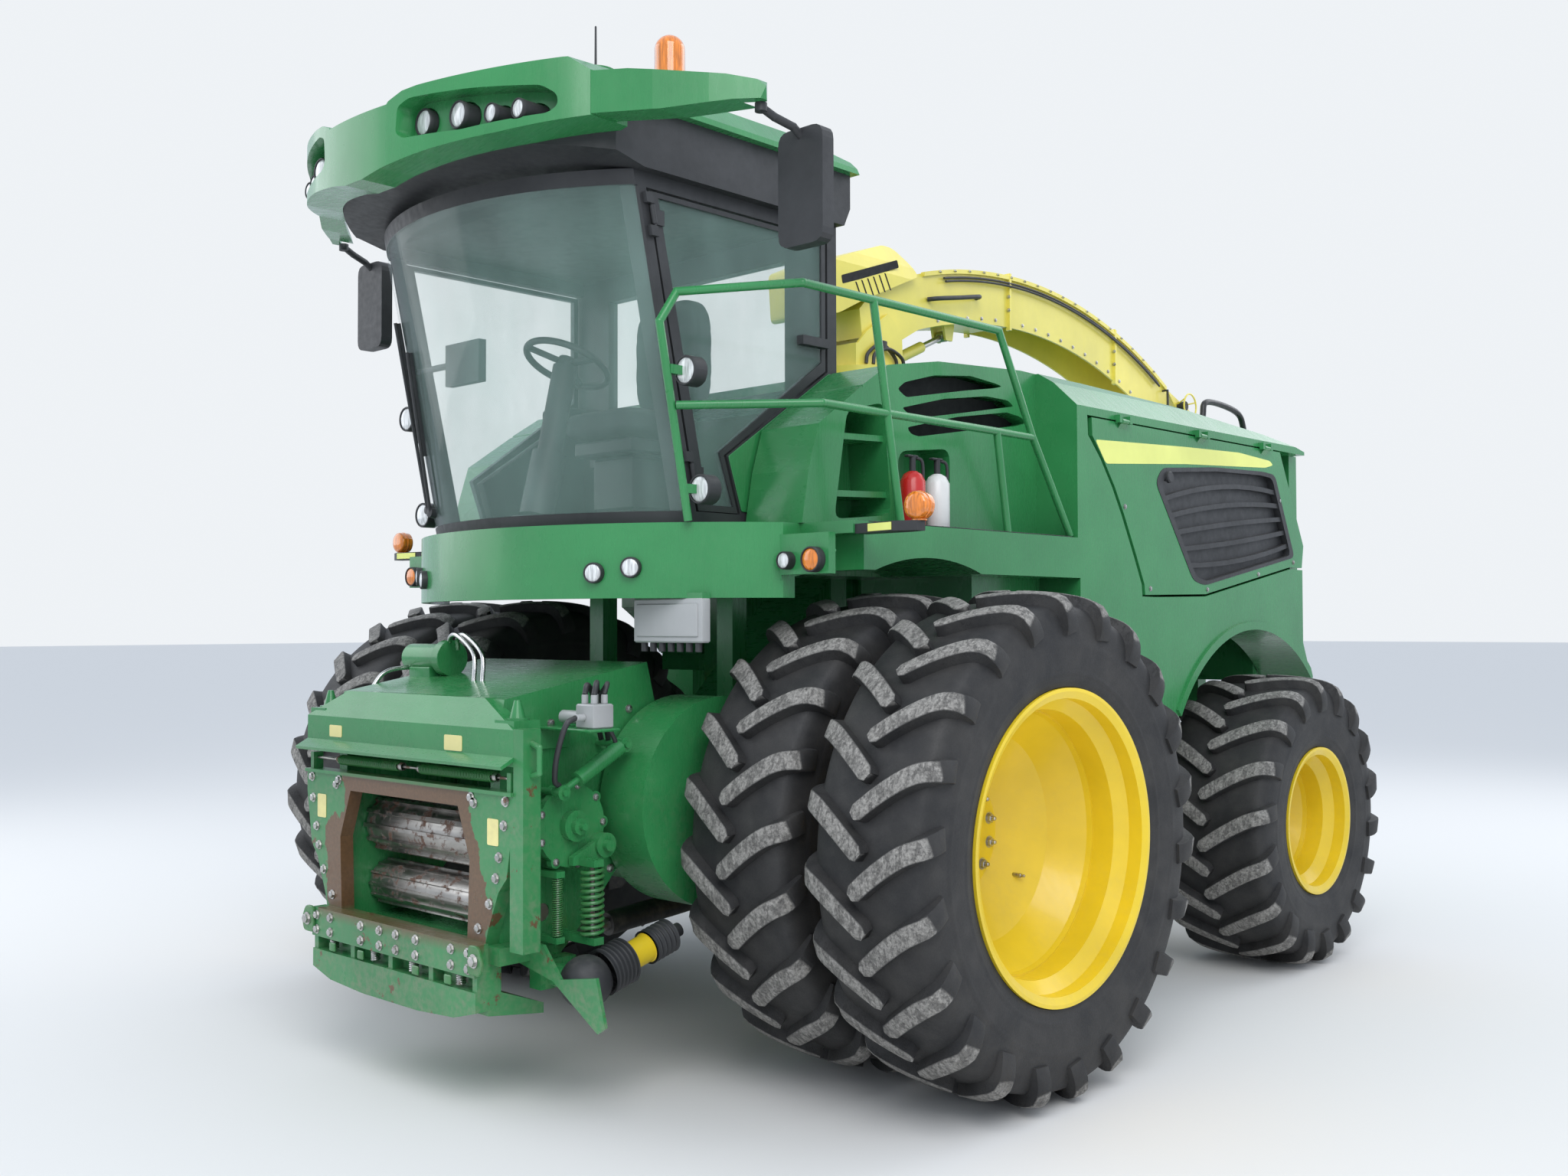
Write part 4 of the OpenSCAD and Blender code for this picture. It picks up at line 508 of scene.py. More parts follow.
@dataclass(frozen=True)
class Enamel:
    """Sprayed machine enamel under a thin film of field dust, heavier low down and on top faces.

    Attributes:
        name: the material's name.
        slot: the record's slot; not used.
        colour: the clean paint.
        gloss: roughness of clean paint.
        dust: share of dust where it is thickest.
        chips: share of the surface that is chipped to rust.
        scoured: whether the throat's edges are scoured to rust.
    """

    name: str
    slot: str
    colour: Colour
    gloss: float = 0.26
    dust: float = 0.30
    chips: float = 0.0
    scoured: bool = False

    def throat_rust(self, n: NodeSheet) -> bpy.types.NodeSocket:
        """Gives the rust where crop scours the plate, in ragged patches near the throat's edge.

        The edge's half width falls with height.
        """
        side = n.sum("ABSOLUTE", n.part(0))
        edge = n.span(n.part(2), 0.95, 1.15, 0.470, 0.390)
        reach = n.sum("SUBTRACT", side, edge)
        ragged = n.sum("ADD", n.span(n.noise(7.0, 6.0, (1.0, 1.0, 0.55), 0.6), 0.3, 0.7, -0.02, 0.15),
                       n.span(n.part(2), 0.60, 1.00, 0.05, 0.0))
        patch = n.sum("MULTIPLY", n.span(n.sum("SUBTRACT", ragged, reach), 0.0, 0.006),
                      n.span(n.part(2), 0.605, 0.660, 0.0, 0.92))
        return n.sum("MULTIPLY", patch, n.span(n.part(2), 1.205, 1.215, 1.0, 0.25))

    def make(self) -> bpy.types.Material:
        """Builds the paint: two tones of base, dust by height and slope, and fine orange peel."""
        n = NodeSheet(self.name)
        cloud = n.noise(1.7, 5.0)
        fine = n.noise(38.0, 6.0)
        darker = tuple(c * 0.86 for c in self.colour)
        lighter = tuple(min(1.0, c * 1.10 + 0.004) for c in self.colour)
        base = n.blend(n.span(cloud, 0.32, 0.68), darker, lighter)
        low = n.span(n.part(2), 0.25, 1.7, 1.0, 0.12)
        top = n.span(n.upward(), 0.35, 1.0, 0.0, 0.75)
        settled = n.sum("MULTIPLY", n.sum("MAXIMUM", low, top), n.span(fine, 0.40, 0.66))
        patchy = n.sum("MULTIPLY", settled, n.span(n.noise(5.0, 4.0), 0.30, 0.70))
        dusty = n.sum("MULTIPLY", patchy, self.dust)
        colour = n.blend(dusty, base, DUST)
        if self.chips > 0:
            spots = n.sum("MULTIPLY", n.span(n.noise(9.0, 9.0, rough=0.7), 0.66 - self.chips,
                                             0.68 - self.chips), 0.9)
            rusty = n.blend(n.noise(70.0, 3.0), (0.075, 0.028, 0.014), (0.20, 0.085, 0.04))
            if self.scoured:
                spots = n.sum("MAXIMUM", spots, self.throat_rust(n))
            colour = n.blend(spots, colour, rusty)
        streak = n.noise(60.0, 3.0, (0.15, 1.0, 0.06))
        n.set(Base_Color=colour, Roughness=n.sum("ADD", n.span(streak, 0.3, 0.7, self.gloss, self.gloss + 0.12),
                                                 n.sum("MULTIPLY", dusty, 0.5)))
        n.set(Coat_Weight=0.25, Coat_Roughness=0.12)
        n.relief(n.noise(240.0, 2.0), 0.0006, 0.25)
        n.relief(cloud, 0.004, 0.10)
        return n.material


@dataclass(frozen=True)
class Rubber:
    """Tyre rubber: near black, dusty in the grooves, scuffed to grey stone dust where wear is 1."""

    name: str
    slot: str = "tyre_rubber"
    colour: Colour = (0.016, 0.016, 0.017)

    def make(self) -> bpy.types.Material:
        """Builds the rubber with scuffed, dusty lug faces and a fine grain."""
        n = NodeSheet(self.name)
        haze = n.noise(6.0, 5.0)
        grain = n.noise(150.0, 5.0)
        base = n.blend(n.span(haze, 0.35, 0.75), self.colour, (0.036, 0.034, 0.032))
        scuff = n.blend(n.span(n.noise(90.0, 8.0, rough=0.7), 0.35, 0.65), (0.13, 0.125, 0.118),
                        (0.36, 0.345, 0.32))
        gouge = n.span(n.noise(42.0, 9.0, (1.0, 0.5, 0.5), 0.75), 0.40, 0.50)
        share = n.sum("MULTIPLY", n.span(n.wear(), 0.45, 0.85), n.span(gouge, 0.0, 1.0, 0.55, 1.0))
        grey = n.sum("MULTIPLY", n.span(n.noise(14.0, 5.0), 0.45, 0.8), 0.25)
        n.set(Base_Color=n.blend(share, n.blend(grey, base, (0.075, 0.072, 0.068)), scuff))
        n.set(Roughness=n.sum("ADD", n.span(grain, 0.2, 0.8, 0.55, 0.74), n.sum("MULTIPLY", share, 0.2)))
        n.relief(grain, 0.0012, 0.5)
        n.relief(n.sum("MULTIPLY", gouge, n.wear()), 0.004, 0.7)
        return n.material


@dataclass(frozen=True)
class Metal:
    """Bare or plated metal with brushing, smudges and some rust."""

    name: str
    slot: str
    colour: Colour = (0.62, 0.61, 0.59)
    roughness: float = 0.28
    rust: float = 0.0

    def make(self) -> bpy.types.Material:
        """Builds the metal: brushed along x, smudged, with rust where the noise is high."""
        n = NodeSheet(self.name)
        brush = n.noise(90.0, 3.0, (0.08, 1.0, 1.0))
        smudge = n.noise(7.0, 6.0)
        dim = tuple(c * 0.62 for c in self.colour)
        bright = n.blend(n.span(smudge, 0.3, 0.7), dim, self.colour)
        spots = n.span(n.noise(16.0, 8.0, rough=0.7), 0.62 - self.rust, 0.70 - self.rust, 0.0,
                       0.9 if self.rust else 0.0)
        n.set(Base_Color=n.blend(spots, bright, (0.14, 0.06, 0.03)), Metallic=n.sum("SUBTRACT", 1.0, spots))
        n.set(Roughness=n.sum("ADD", n.span(brush, 0.3, 0.7, self.roughness, self.roughness + 0.16),
                              n.sum("MULTIPLY", spots, 0.4)))
        n.relief(brush, 0.0005, 0.3)
        return n.material


@dataclass(frozen=True)
class Plastic:
    """Moulded plastic with a leathery grain."""

    name: str
    slot: str = "black_plastic"
    colour: Colour = (0.022, 0.023, 0.025)
    roughness: float = 0.45
    grain: float = 220.0

    def make(self) -> bpy.types.Material:
        """Builds the plastic: faint tone changes, dust on top, and moulded grain."""
        n = NodeSheet(self.name)
        tone = n.noise(3.0, 4.0)
        lighter = tuple(c * 1.6 + 0.006 for c in self.colour)
        base = n.blend(n.span(tone, 0.3, 0.7), self.colour, lighter)
        dusty = n.sum("MULTIPLY", n.span(n.upward(), 0.3, 1.0, 0.0, 0.30),
                      n.span(n.noise(26.0, 6.0), 0.35, 0.7))
        n.set(Base_Color=n.blend(dusty, base, (0.20, 0.19, 0.17)))
        n.set(Roughness=n.span(n.noise(30.0, 4.0), 0.3, 0.7, self.roughness, self.roughness + 0.15))
        n.relief(n.noise(self.grain, 3.0), 0.0008, 0.35)
        return n.material


@dataclass(frozen=True)
class Glazing:
    """Tinted cab glass, seen through, with a film of dust."""

    name: str
    slot: str = "clear_glass"
    tint: Colour = (0.42, 0.66, 0.58)
    cover: float = 0.10

    def make(self) -> bpy.types.Material:
        """Builds the glass: mostly clear, a little more cover where dust lies."""
        n = NodeSheet(self.name)
        film = n.noise(4.0, 6.0, (1, 1, 0.4))
        n.set(Base_Color=self.tint, Roughness=0.03)
        n.set(Alpha=n.span(film, 0.35, 0.75, self.cover, self.cover + 0.07))
        n.set(Coat_Weight=1.0, Coat_Roughness=0.02)
        return n.material


@dataclass(frozen=True)
class Lens:
    """Lamp lens: coloured or clear plastic over a fluted reflector."""

    name: str
    colour: Colour
    slot: str = "lamp_plastic"
    flutes: float = 120.0
    glow: float = 0.0

    def make(self) -> bpy.types.Material:
        """Builds the lens with vertical flutes and a bright ground."""
        n = NodeSheet(self.name)
        flute = n.noise(self.flutes, 2.0, (1.0, 1.0, 0.1))
        deep = tuple(c * 0.55 for c in self.colour)
        n.set(Base_Color=n.blend(n.span(flute, 0.35, 0.65), deep, self.colour), Roughness=0.08)
        n.set(Coat_Weight=1.0, Coat_Roughness=0.02)
        if self.glow > 0:
            n.set(Emission_Color=self.colour, Emission_Strength=self.glow)
        n.relief(flute, 0.001, 0.5)
        return n.material


Finish = Enamel | Rubber | Metal | Plastic | Glazing | Lens

GREEN = Enamel("green_enamel", "green_paint", (0.030, 0.235, 0.070), gloss=0.22, dust=0.22)
YELLOW = Enamel("yellow_enamel", "yellow_paint", (0.83, 0.60, 0.020), gloss=0.30, dust=0.10)
SPOUT_YELLOW = Enamel("spout_enamel", "yellow_paint", (0.86, 0.73, 0.12), gloss=0.36, dust=0.30)
BLACK = Enamel("black_enamel", "black_paint", (0.012, 0.012, 0.013), gloss=0.42, dust=0.35)
RED = Enamel("red_enamel", "red_paint", (0.50, 0.012, 0.010), dust=0.1)
WORN_GREEN = Enamel("worn_green_enamel", "green_paint", (0.032, 0.220, 0.068), dust=0.55, chips=0.045,
                    scoured=True)
SPRING_GREEN = Enamel("spring_enamel", "green_paint", (0.035, 0.190, 0.050), dust=0.40, chips=0.03)
STRIPE = Enamel("stripe_film", "yellow_paint", (0.86, 0.90, 0.22), gloss=0.30, dust=0.08)
BLANK = Enamel("blank_plates", "yellow_paint", (0.80, 0.72, 0.30), gloss=0.35, dust=0.30)
SILVER = Enamel("silver_enamel", "steel", (0.42, 0.43, 0.43), gloss=0.34, dust=0.25)
WHITE = Enamel("white_enamel", "red_paint", (0.70, 0.70, 0.68), gloss=0.25, dust=0.08)
RUBBER = Rubber("tyre_rubber")
STEEL = Metal("worn_steel", "steel", (0.60, 0.59, 0.57), 0.26, 0.03)
ROLL = Metal("roll_steel", "steel", (0.52, 0.50, 0.47), 0.30, 0.10)
BRIGHT = Metal("plated_steel", "steel", (0.72, 0.72, 0.70), 0.16)
PLASTIC = Plastic("black_moulding")
GLASS = Glazing("cab_glazing")
# Near black, darker than the black plastic: painted shade for the insides of the crescent vents and the spout
# cover's slots, and the colour of the cover's dark band.
NEAR_BLACK_SHADE = Plastic("dark_netting", colour=(0.006, 0.006, 0.007), roughness=0.7, grain=400.0)
CUSHION = Plastic("seat_cloth", slot="black_plastic", colour=(0.030, 0.031, 0.034), roughness=0.85, grain=520.0)
TREAD = Plastic("tread_plate", colour=(0.020, 0.020, 0.021), roughness=0.6, grain=60.0)
CLEAR = Lens("clear_lens", (0.86, 0.88, 0.88))
AMBER = Lens("amber_lens", (0.95, 0.27, 0.02))


class Wardrobe:
    """Keeps each finish's material, so that it is built once."""

    def __init__(self) -> None:
        """Starts with no material."""
        self.made: dict[str, bpy.types.Material] = {}

    def get(self, finish: Finish) -> bpy.types.Material:
        """Gives a finish's material, building it the first time."""
        if finish.name not in self.made:
            self.made[finish.name] = finish.make()
        return self.made[finish.name]


wardrobe = Wardrobe()
SHARP = math.radians(38)


def add_piece(name: str, shell: Shell, finish: Finish, body: str,
              replaced: Sequence[str] = ()) -> bpy.types.Object:
    """Puts a surface into the scene as one piece that rides on a body.

    Args:
        name: the piece's name.
        shell: its surface.
        finish: its finish.
        body: the CAD body that it moves with.
        replaced: CAD nodes that it stands for.

    Returns:
        The piece's object, at the origin.
    """
    polygons = [row for f in shell.faces for row in f.tolist()]
    mesh = bpy.data.meshes.new(name)
    mesh.from_pydata(shell.points.tolist(), [], polygons)
    if shell.wear is not None:
        mesh.attributes.new("wear", "FLOAT", "POINT").data.foreach_set("value", shell.wear.astype(np.float32))
    mesh.polygons.foreach_set("use_smooth", np.ones(len(mesh.polygons), bool))
    mesh.set_sharp_from_angle(angle=SHARP)
    mesh.materials.append(wardrobe.get(finish))
    mesh.update()
    obj = bpy.data.objects.new(name, mesh)
    bpy.context.scene.collection.objects.link(obj)
    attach(obj, body)
    if replaced:
        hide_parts(*replaced)
    log.info("%s: %d points, %d faces, on %s", name, len(shell.points), len(polygons), body)
    return obj


def add_pair(name: str, left: Shell, finish: Finish, body: str) -> None:
    """Adds a piece on the left and its mirror image on the right.

    Args:
        name: the pieces' name, without the side.
        left: the surface of the left one.
        finish: their finish.
        body: the body's name, without the side.
    """
    add_piece(f"{name}_left", left, finish, f"left_{body}")
    add_piece(f"{name}_right", left.mirrored(), finish, f"right_{body}")


def dress(finish: Finish, *nodes: str) -> None:
    """Gives CAD nodes a finish.

    Args:
        finish: the finish.
        nodes: names of the nodes.
    """
    for node in nodes:
        obj = frame["nodes"][node]
        obj.data.materials.clear()
        obj.data.materials.append(wardrobe.get(finish))
        log.info("%s: %s", node, finish.name)


@dataclass
class Studio:
    """Camera at the photograph's place and angle, soft lamps, and a pale floor.

    Attributes:
        eye: the camera, counted from the front axle.
        heading: turn of the view from the machine's length, in degrees.
        pitch: how far the view points up, in degrees.
        roll: turn about the view, in degrees.
        lens: focal length on a frame as wide as the sensor.
        sensor: width of the frame.
        far: how far the camera sees.
        floor_half: half the floor's side.
        floor_tone: the floor's colour.
        sky_light: colour and strength of the light from the sky.
        sky_seen: the sky's colour behind the machine.
    """

    eye: Point = (5.242, -4.916, 1.839)
    heading: float = 43.29
    pitch: float = 1.45
    roll: float = 0.16
    lens: float = 34.15
    sensor: float = 36.0
    far: float = 500.0
    floor_half: float = 150.0
    floor_tone: Colour = (0.80, 0.79, 0.77)
    sky_light: tuple[Colour, float] = ((0.80, 0.88, 1.0), 0.92)
    sky_seen: Colour = (0.86, 0.89, 0.92)

    def camera(self) -> None:
        """Places the camera: the view runs backwards and to the right by the heading, raised by the pitch."""
        data = bpy.data.cameras.new("camera")
        data.lens = self.lens
        data.sensor_width = self.sensor
        data.clip_end = self.far
        obj = bpy.data.objects.new("camera", data)
        bpy.context.scene.collection.objects.link(obj)
        turn = (Matrix.Rotation(math.radians(self.heading), 4, "Z")
                @ Matrix.Rotation(math.radians(90 + self.pitch), 4, "X")
                @ Matrix.Rotation(math.radians(-self.roll), 4, "Z"))
        obj.matrix_world = Matrix.Translation(at(*self.eye)) @ turn
        bpy.context.scene.camera = obj

    def lamps(self) -> None:
        """Hangs a wide key lamp and a fill, under an even pale world."""
        for name, place, aim, size, power in (
                ("key", (7.0, -7.0, 9.0), (0.0, 0.0, 1.4), 7.0, 620.0),
                ("fill", (-8.0, -6.0, 6.0), (0.0, 0.0, 1.5), 8.0, 260.0),
                ("back", (3.0, 9.0, 8.0), (0.0, 1.0, 1.5), 8.0, 300.0)):
            data = bpy.data.lights.new(name, "AREA")
            data.size = size
            data.energy = power
            obj = bpy.data.objects.new(name, data)
            obj.location = place
            obj.rotation_euler = (Vector(aim) - Vector(place)).to_track_quat("-Z", "Y").to_euler()
            bpy.context.scene.collection.objects.link(obj)

    def world(self) -> None:
        """Lights evenly from a pale sky: white to the camera and glass rays, soft grey for light."""
        world = bpy.data.worlds.new("world")
        world.use_nodes = True
        tree = world.node_tree
        ground = tree.nodes["Background"]
        colour, strength = self.sky_light
        ground.inputs["Color"].default_value = (*colour, 1.0)
        ground.inputs["Strength"].default_value = strength
        seen = tree.nodes.new("ShaderNodeBackground")
        seen.inputs["Color"].default_value = (*self.sky_seen, 1.0)
        path = tree.nodes.new("ShaderNodeLightPath")
        either = tree.nodes.new("ShaderNodeMath")
        either.operation = "MAXIMUM"
        tree.links.new(path.outputs["Is Camera Ray"], either.inputs[0])
        tree.links.new(path.outputs["Is Transmission Ray"], either.inputs[1])
        mix = tree.nodes.new("ShaderNodeMixShader")
        tree.links.new(either.outputs[0], mix.inputs[0])
        tree.links.new(ground.outputs[0], mix.inputs[1])
        tree.links.new(seen.outputs[0], mix.inputs[2])
        tree.links.new(mix.outputs[0], tree.nodes["World Output"].inputs[0])
        bpy.context.scene.world = world

    def floor(self) -> None:
        """Lays a plain pale floor."""
        h = self.floor_half
        mesh = bpy.data.meshes.new("floor")
        mesh.from_pydata([(-h, -h, 0), (h, -h, 0), (h, h, 0), (-h, h, 0)], [], [(0, 1, 2, 3)])
        material = bpy.data.materials.new("pale_floor")
        material.use_nodes = True
        shader = material.node_tree.nodes["Principled BSDF"]
        shader.inputs["Base Color"].default_value = (*self.floor_tone, 1.0)
        shader.inputs["Roughness"].default_value = 0.85
        mesh.materials.append(material)
        obj = bpy.data.objects.new("floor", mesh)
        bpy.context.scene.collection.objects.link(obj)

    def build(self) -> None:
        """Sets up the whole studio."""
        bpy.context.scene.view_settings.view_transform = "Standard"
        self.camera()
        self.lamps()
        self.world()
        self.floor()


@dataclass
class Tyre:
    """A farm tyre: a turned carcass with curved lugs carried from its crown over each shoulder.

    Attributes:
        name: the piece's name.
        centre: middle of the tyre.
        diameter: over the lugs.
        width: over the sidewalls.
        rim: diameter of the rim flange.
        lugs: number of lugs on one side.
    """

    name: str
    centre: Point
    diameter: float
    width: float
    rim: float
    lugs: int
    lug_height: float = 0.046
    lug_width: float = 0.082
    run: float = 0.235

    def section(self, count: int) -> np.ndarray:
        """Gives the carcass section from bead to bead as (along, radius) pairs, a smooth curve."""
        half, bead = self.width / 2, self.rim / 2 - 0.012
        crown = self.diameter / 2 - self.lug_height
        high = crown - bead
        side = [(0.86, 0.0), (0.93, 0.10), (0.98, 0.28), (1.0, 0.50), (0.985, 0.72), (0.93, 0.875),
                (0.80, 0.955), (0.45, 0.992)]
        right = [(half * x, bead + high * r) for x, r in side]
        left = [(-x, r) for x, r in right]
        return curve_through(left + [(0.0, crown)] + right[::-1], count)

    def carcass(self) -> Shell:
        """Turns the section about the axle, with moulded rings low on each sidewall."""
        s = self.section(121)
        t = np.abs(np.linspace(-1, 1, len(s)))
        ridge = 0.004 * np.exp(-((t - 0.93) / 0.012) ** 2) + 0.003 * np.exp(-((t - 0.80) / 0.006) ** 2)
        ridge += 0.0025 * np.exp(-((t - 0.62) / 0.008) ** 2)
        s[:, 0] += np.sign(s[:, 0]) * ridge
        inside = [(s[-1, 0] - 0.03, s[-1, 1] + 0.02), (s[0, 0] + 0.03, s[0, 1] + 0.02)]
        shell = revolve(np.vstack([s, inside, s[:1]]), Axis.X, self.centre, 144)
        shell.wear = np.zeros(len(shell.points))
        return shell

    def lug(self) -> Shell:
        """Makes one lug of the left half: a trapezoid carried along a curve that runs out from the crown.

        The curve's way round the tyre falls off as (1 - s) to the power 1.3, s being the share of the way from
        the crown to low on the shoulder, and the lug's height fades over the shoulder.
        """
        s = self.section(241)
        half = s[120:]
        steps = np.concatenate([[0], np.cumsum(np.linalg.norm(np.diff(half, axis=0), axis=1))])
        reach = self.width / 2 * 1.30
        share = np.linspace(0, 1, 22)
        length = -0.020 + share * (reach + 0.020)
        along = np.interp(np.abs(length), steps, half[:, 0]) * np.sign(length)
        radius = np.interp(np.abs(length), steps, half[:, 1])
        turn = -self.run * (1 - share) ** 1.3 / (self.diameter / 2)
        path = np.stack([along, radius * np.sin(turn), radius * np.cos(turn)], 1)
        way = np.gradient(path, axis=0)
        way /= np.linalg.norm(way, axis=1)[:, None]
        slope_x, slope_r = np.gradient(along), np.gradient(radius)
        size = np.hypot(slope_x, slope_r)
        out_x, out_r = -slope_r / size, slope_x / size
        out = np.stack([out_x, out_r * np.sin(turn), out_r * np.cos(turn)], 1)
        side = np.cross(out, way)
        side /= np.linalg.norm(side, axis=1)[:, None]
        top = self.diameter / 2
        rise = np.clip((top - radius) / np.maximum(out_r, 0.5), 0.0, self.lug_height)
        fade = np.clip((1.0 - share) / 0.26, 0.0, 1.0)
        height = np.where(share > 0.74, 0.012 + (self.lug_height * 0.92 - 0.012) * fade**0.8, rise)
        base = self.lug_width * (0.92 + 0.25 * share)
        crest = self.lug_width * (0.74 + 0.16 * share)
        base[0] *= 0.62
        crest[0] *= 0.55
        across = np.stack([-base / 2, -crest / 2 - 0.003, -crest / 2 + 0.004, crest / 2 - 0.004,
                           crest / 2 + 0.003, base / 2], 1)
        foot = np.full_like(height, -0.012)
        up = np.stack([foot, height * 0.90, height, height, height * 0.90, foot], 1)
        points = path[:, None] + side[:, None] * across[..., None] + out[:, None] * up[..., None]
        shell = grid(points, around=True, caps=True)
        worn = np.where(np.arange(6)[None] % 5 == 0, 0.0, 1.0) * np.clip((0.80 - share) / 0.04, 0, 1)[:, None]
        shell.wear = (worn * np.array([0, 0.45, 1, 1, 0.45, 0])[None]).reshape(-1)
        return shell

    def build(self, body: str, replaced: Sequence[str]) -> None:
        """Joins the carcass and two staggered rows of lugs into one piece."""
        left = self.lug()
        pitch = 360.0 / self.lugs
        turns = np.arange(self.lugs) * pitch
        rows = [left.spun((1, 0, 0), (0, 0, 0), turns),
                left.mirrored().spun((1, 0, 0), (0, 0, 0), turns + pitch / 2)]
        whole = join(self.carcass(), *[r.moved(self.centre) for r in rows])
        add_piece(self.name, whole, RUBBER, body, replaced)


@dataclass
class Wheels:
    """All six tyres."""

    front: tuple[float, float, float, int] = (1.977, 0.520, 1.218, 22)
    rear: tuple[float, float, float, int] = (1.560, 0.620, 0.788, 18)
    dual_gap: float = 0.135

    def build(self) -> None:
        """Builds both tyres of each front pair, and each rear tyre."""
        for side, sign in (("left", 1), ("right", -1)):
            low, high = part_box(f"front_tyres_{side}")
            axle = joint_place(f"front_{side}_roll")
            diameter, width, rim, lugs = self.front
            inner = min(abs(low.x), abs(high.x)) + width / 2
            for place, x in (("inner", inner), ("outer", inner + width + self.dual_gap)):
                centre = (sign * x, axle[1], diameter / 2)
                replaced = [f"front_tyres_{side}"] if place == "outer" else []
                tyre = Tyre(f"front_{place}_tyre_{side}", centre, diameter, width, rim, lugs)
                tyre.build(f"{side}_front_wheels", replaced)
            diameter, width, rim, lugs = self.rear
            axle = joint_place(f"rear_{side}_roll")
            centre = (axle[0], axle[1], diameter / 2)
            tyre = Tyre(f"rear_dressed_tyre_{side}", centre, diameter, width, rim, lugs)
            tyre.build(f"{side}_rear_wheel", [f"rear_tyre_{side}"])


def dress_nodes() -> None:
    """Gives every CAD node that stays in view its finish."""
    dress(GREEN, "chassis_frame", "cutter_housing", "feed_housing", "feed_gearcase", "front_fascia", "railing",
          "side_body_left", "side_body_right", "side_panel_left", "side_panel_right", "hood", "rear_body",
          "cab_roof", "visor_wings")
    dress(WORN_GREEN, "front_plate")
    dress(YELLOW, "front_rims_left", "front_rims_right", "rear_rim_left", "rear_rim_right")
    dress(SPOUT_YELLOW, "spout_turret", "spout_arm", "sensor_cover", "spout_flap", "spout_tip", "spout_barrel")
    dress(BLACK, "front_axle", "rear_axle", "engine_block", "lift_barrels", "knuckle_left", "knuckle_right")
    dress(PLASTIC, "cab_frame", "cab_door_left", "cab_window_right", "mirrors", "cab_controls", "louvre_left",
          "louvre_right", "work_lamps", "marker_arms")
    dress(ROLL, "upper_feed_roll", "lower_feed_roll")
    dress(STEEL, "lift_rods", "spout_rod")
    dress(GLASS, "windshield", "cab_glass", "door_glass_left", "window_glass_right")


def lamp(radius: float) -> tuple[Shell, Shell]:
    """Makes the bezel and the domed lens of a round lamp that looks along z.

    Args:
        radius: radius over the bezel.

    Returns:
        The bezel, a turned ring, and the lens, a shallow dome inside it.
    """
    bezel = revolve([(-0.010, radius), (0.004, radius), (0.008, radius * 0.96), (0.008, radius * 0.88),
                     (0.001, radius * 0.84)], count=40)
    t = np.linspace(0, math.pi / 2, 9)
    dome = np.stack([0.001 + 0.010 * np.sin(t), radius * 0.86 * np.cos(t)], 1)
    return bezel, revolve(dome, count=40)


@dataclass
class WheelFittings:
    """Nuts, studs, valves and the pressed rings on the rims' discs."""

    nut_ring: float = 0.190
    nuts: int = 12
    rear_ring: float = 0.133

    def ring(self, centre: Sequence[float], radius: float, count: int, size: float, start: float) -> Shell:
        """Sets studs with hexagon nuts round a hub, looking out along x."""
        turn = np.radians(start + np.arange(count) * 360.0 / count)
        places = np.stack([0 * turn, radius * np.cos(turn), radius * np.sin(turn)], 1)
        places = places + np.asarray(centre, float)
        stud = revolve([(0, size * 0.5), (size * 1.9, size * 0.5), (size * 2.1, size * 0.3), (size * 2.1, 0)],
                       Axis.X, (0, 0, 0), 12)
        return join(bolts(places, (1, 0, 0), size, size * 1.2), stud.copies(places))

    def valve(self, centre: Sequence[float], radius: float, angle: float) -> Shell:
        """Stands a tyre valve on the disc."""
        a = math.radians(angle)
        y, z = centre[1] + radius * math.cos(a), centre[2] + radius * math.sin(a)
        return join(rod((centre[0], y, z), (centre[0] + 0.045, y, z), 0.009),
                    rod((centre[0] + 0.04, y, z), (centre[0] + 0.062, y, z), 0.0065))

    def build(self) -> None:
        """Fits every wheel: the outer front discs, and both rear discs."""
        around = np.linspace(0, 2 * math.pi, 9)
        for side in ("left", "right"):
            axle = joint_place(f"front_{side}_roll")
            centre = (1.600, axle[1], axle[2])
            face = revolve([(-0.002, 0.232), (0.005, 0.228), (0.005, 0.150), (0.010, 0.142), (0.010, 0.060),
                            (0.006, 0.050), (0.006, 0)],
                           Axis.X, centre, 64)
            steel = join(self.ring(centre, self.nut_ring, self.nuts, 0.019, 15.0),
                         self.valve((1.66, axle[1], axle[2]), 0.33, -35.0))
            bead = [(1.872 + 0.006 * math.cos(t), 0.520 + 0.006 * math.sin(t)) for t in around]
            weld = revolve(bead, Axis.X, (0, axle[1], axle[2]), 96)
            rear = joint_place(f"rear_{side}_roll")
            hub = (1.470, rear[1], rear[2])
            nuts = join(self.ring(hub, self.rear_ring, 8, 0.012, 22.0),
                        self.valve((1.49, rear[1], rear[2]), 0.24, -60.0))
            cap = revolve([(0.029, 0.116), (0.036, 0.110), (0.036, 0.070), (0.044, 0.062), (0.050, 0.030),
                           (0.050, 0)], Axis.X, hub, 48)
            for name, shell, finish, wheel in (("front_hub_face", join(face, weld), YELLOW, "front_wheels"),
                                               ("front_wheel_nuts", steel, STEEL, "front_wheels"),
                                               ("rear_wheel_nuts", nuts, STEEL, "rear_wheel"),
                                               ("rear_hub_cap", cap, YELLOW, "rear_wheel")):
                add_piece(f"{name}_{side}", shell if side == "left" else shell.mirrored(), finish,
                          f"{side}_{wheel}")


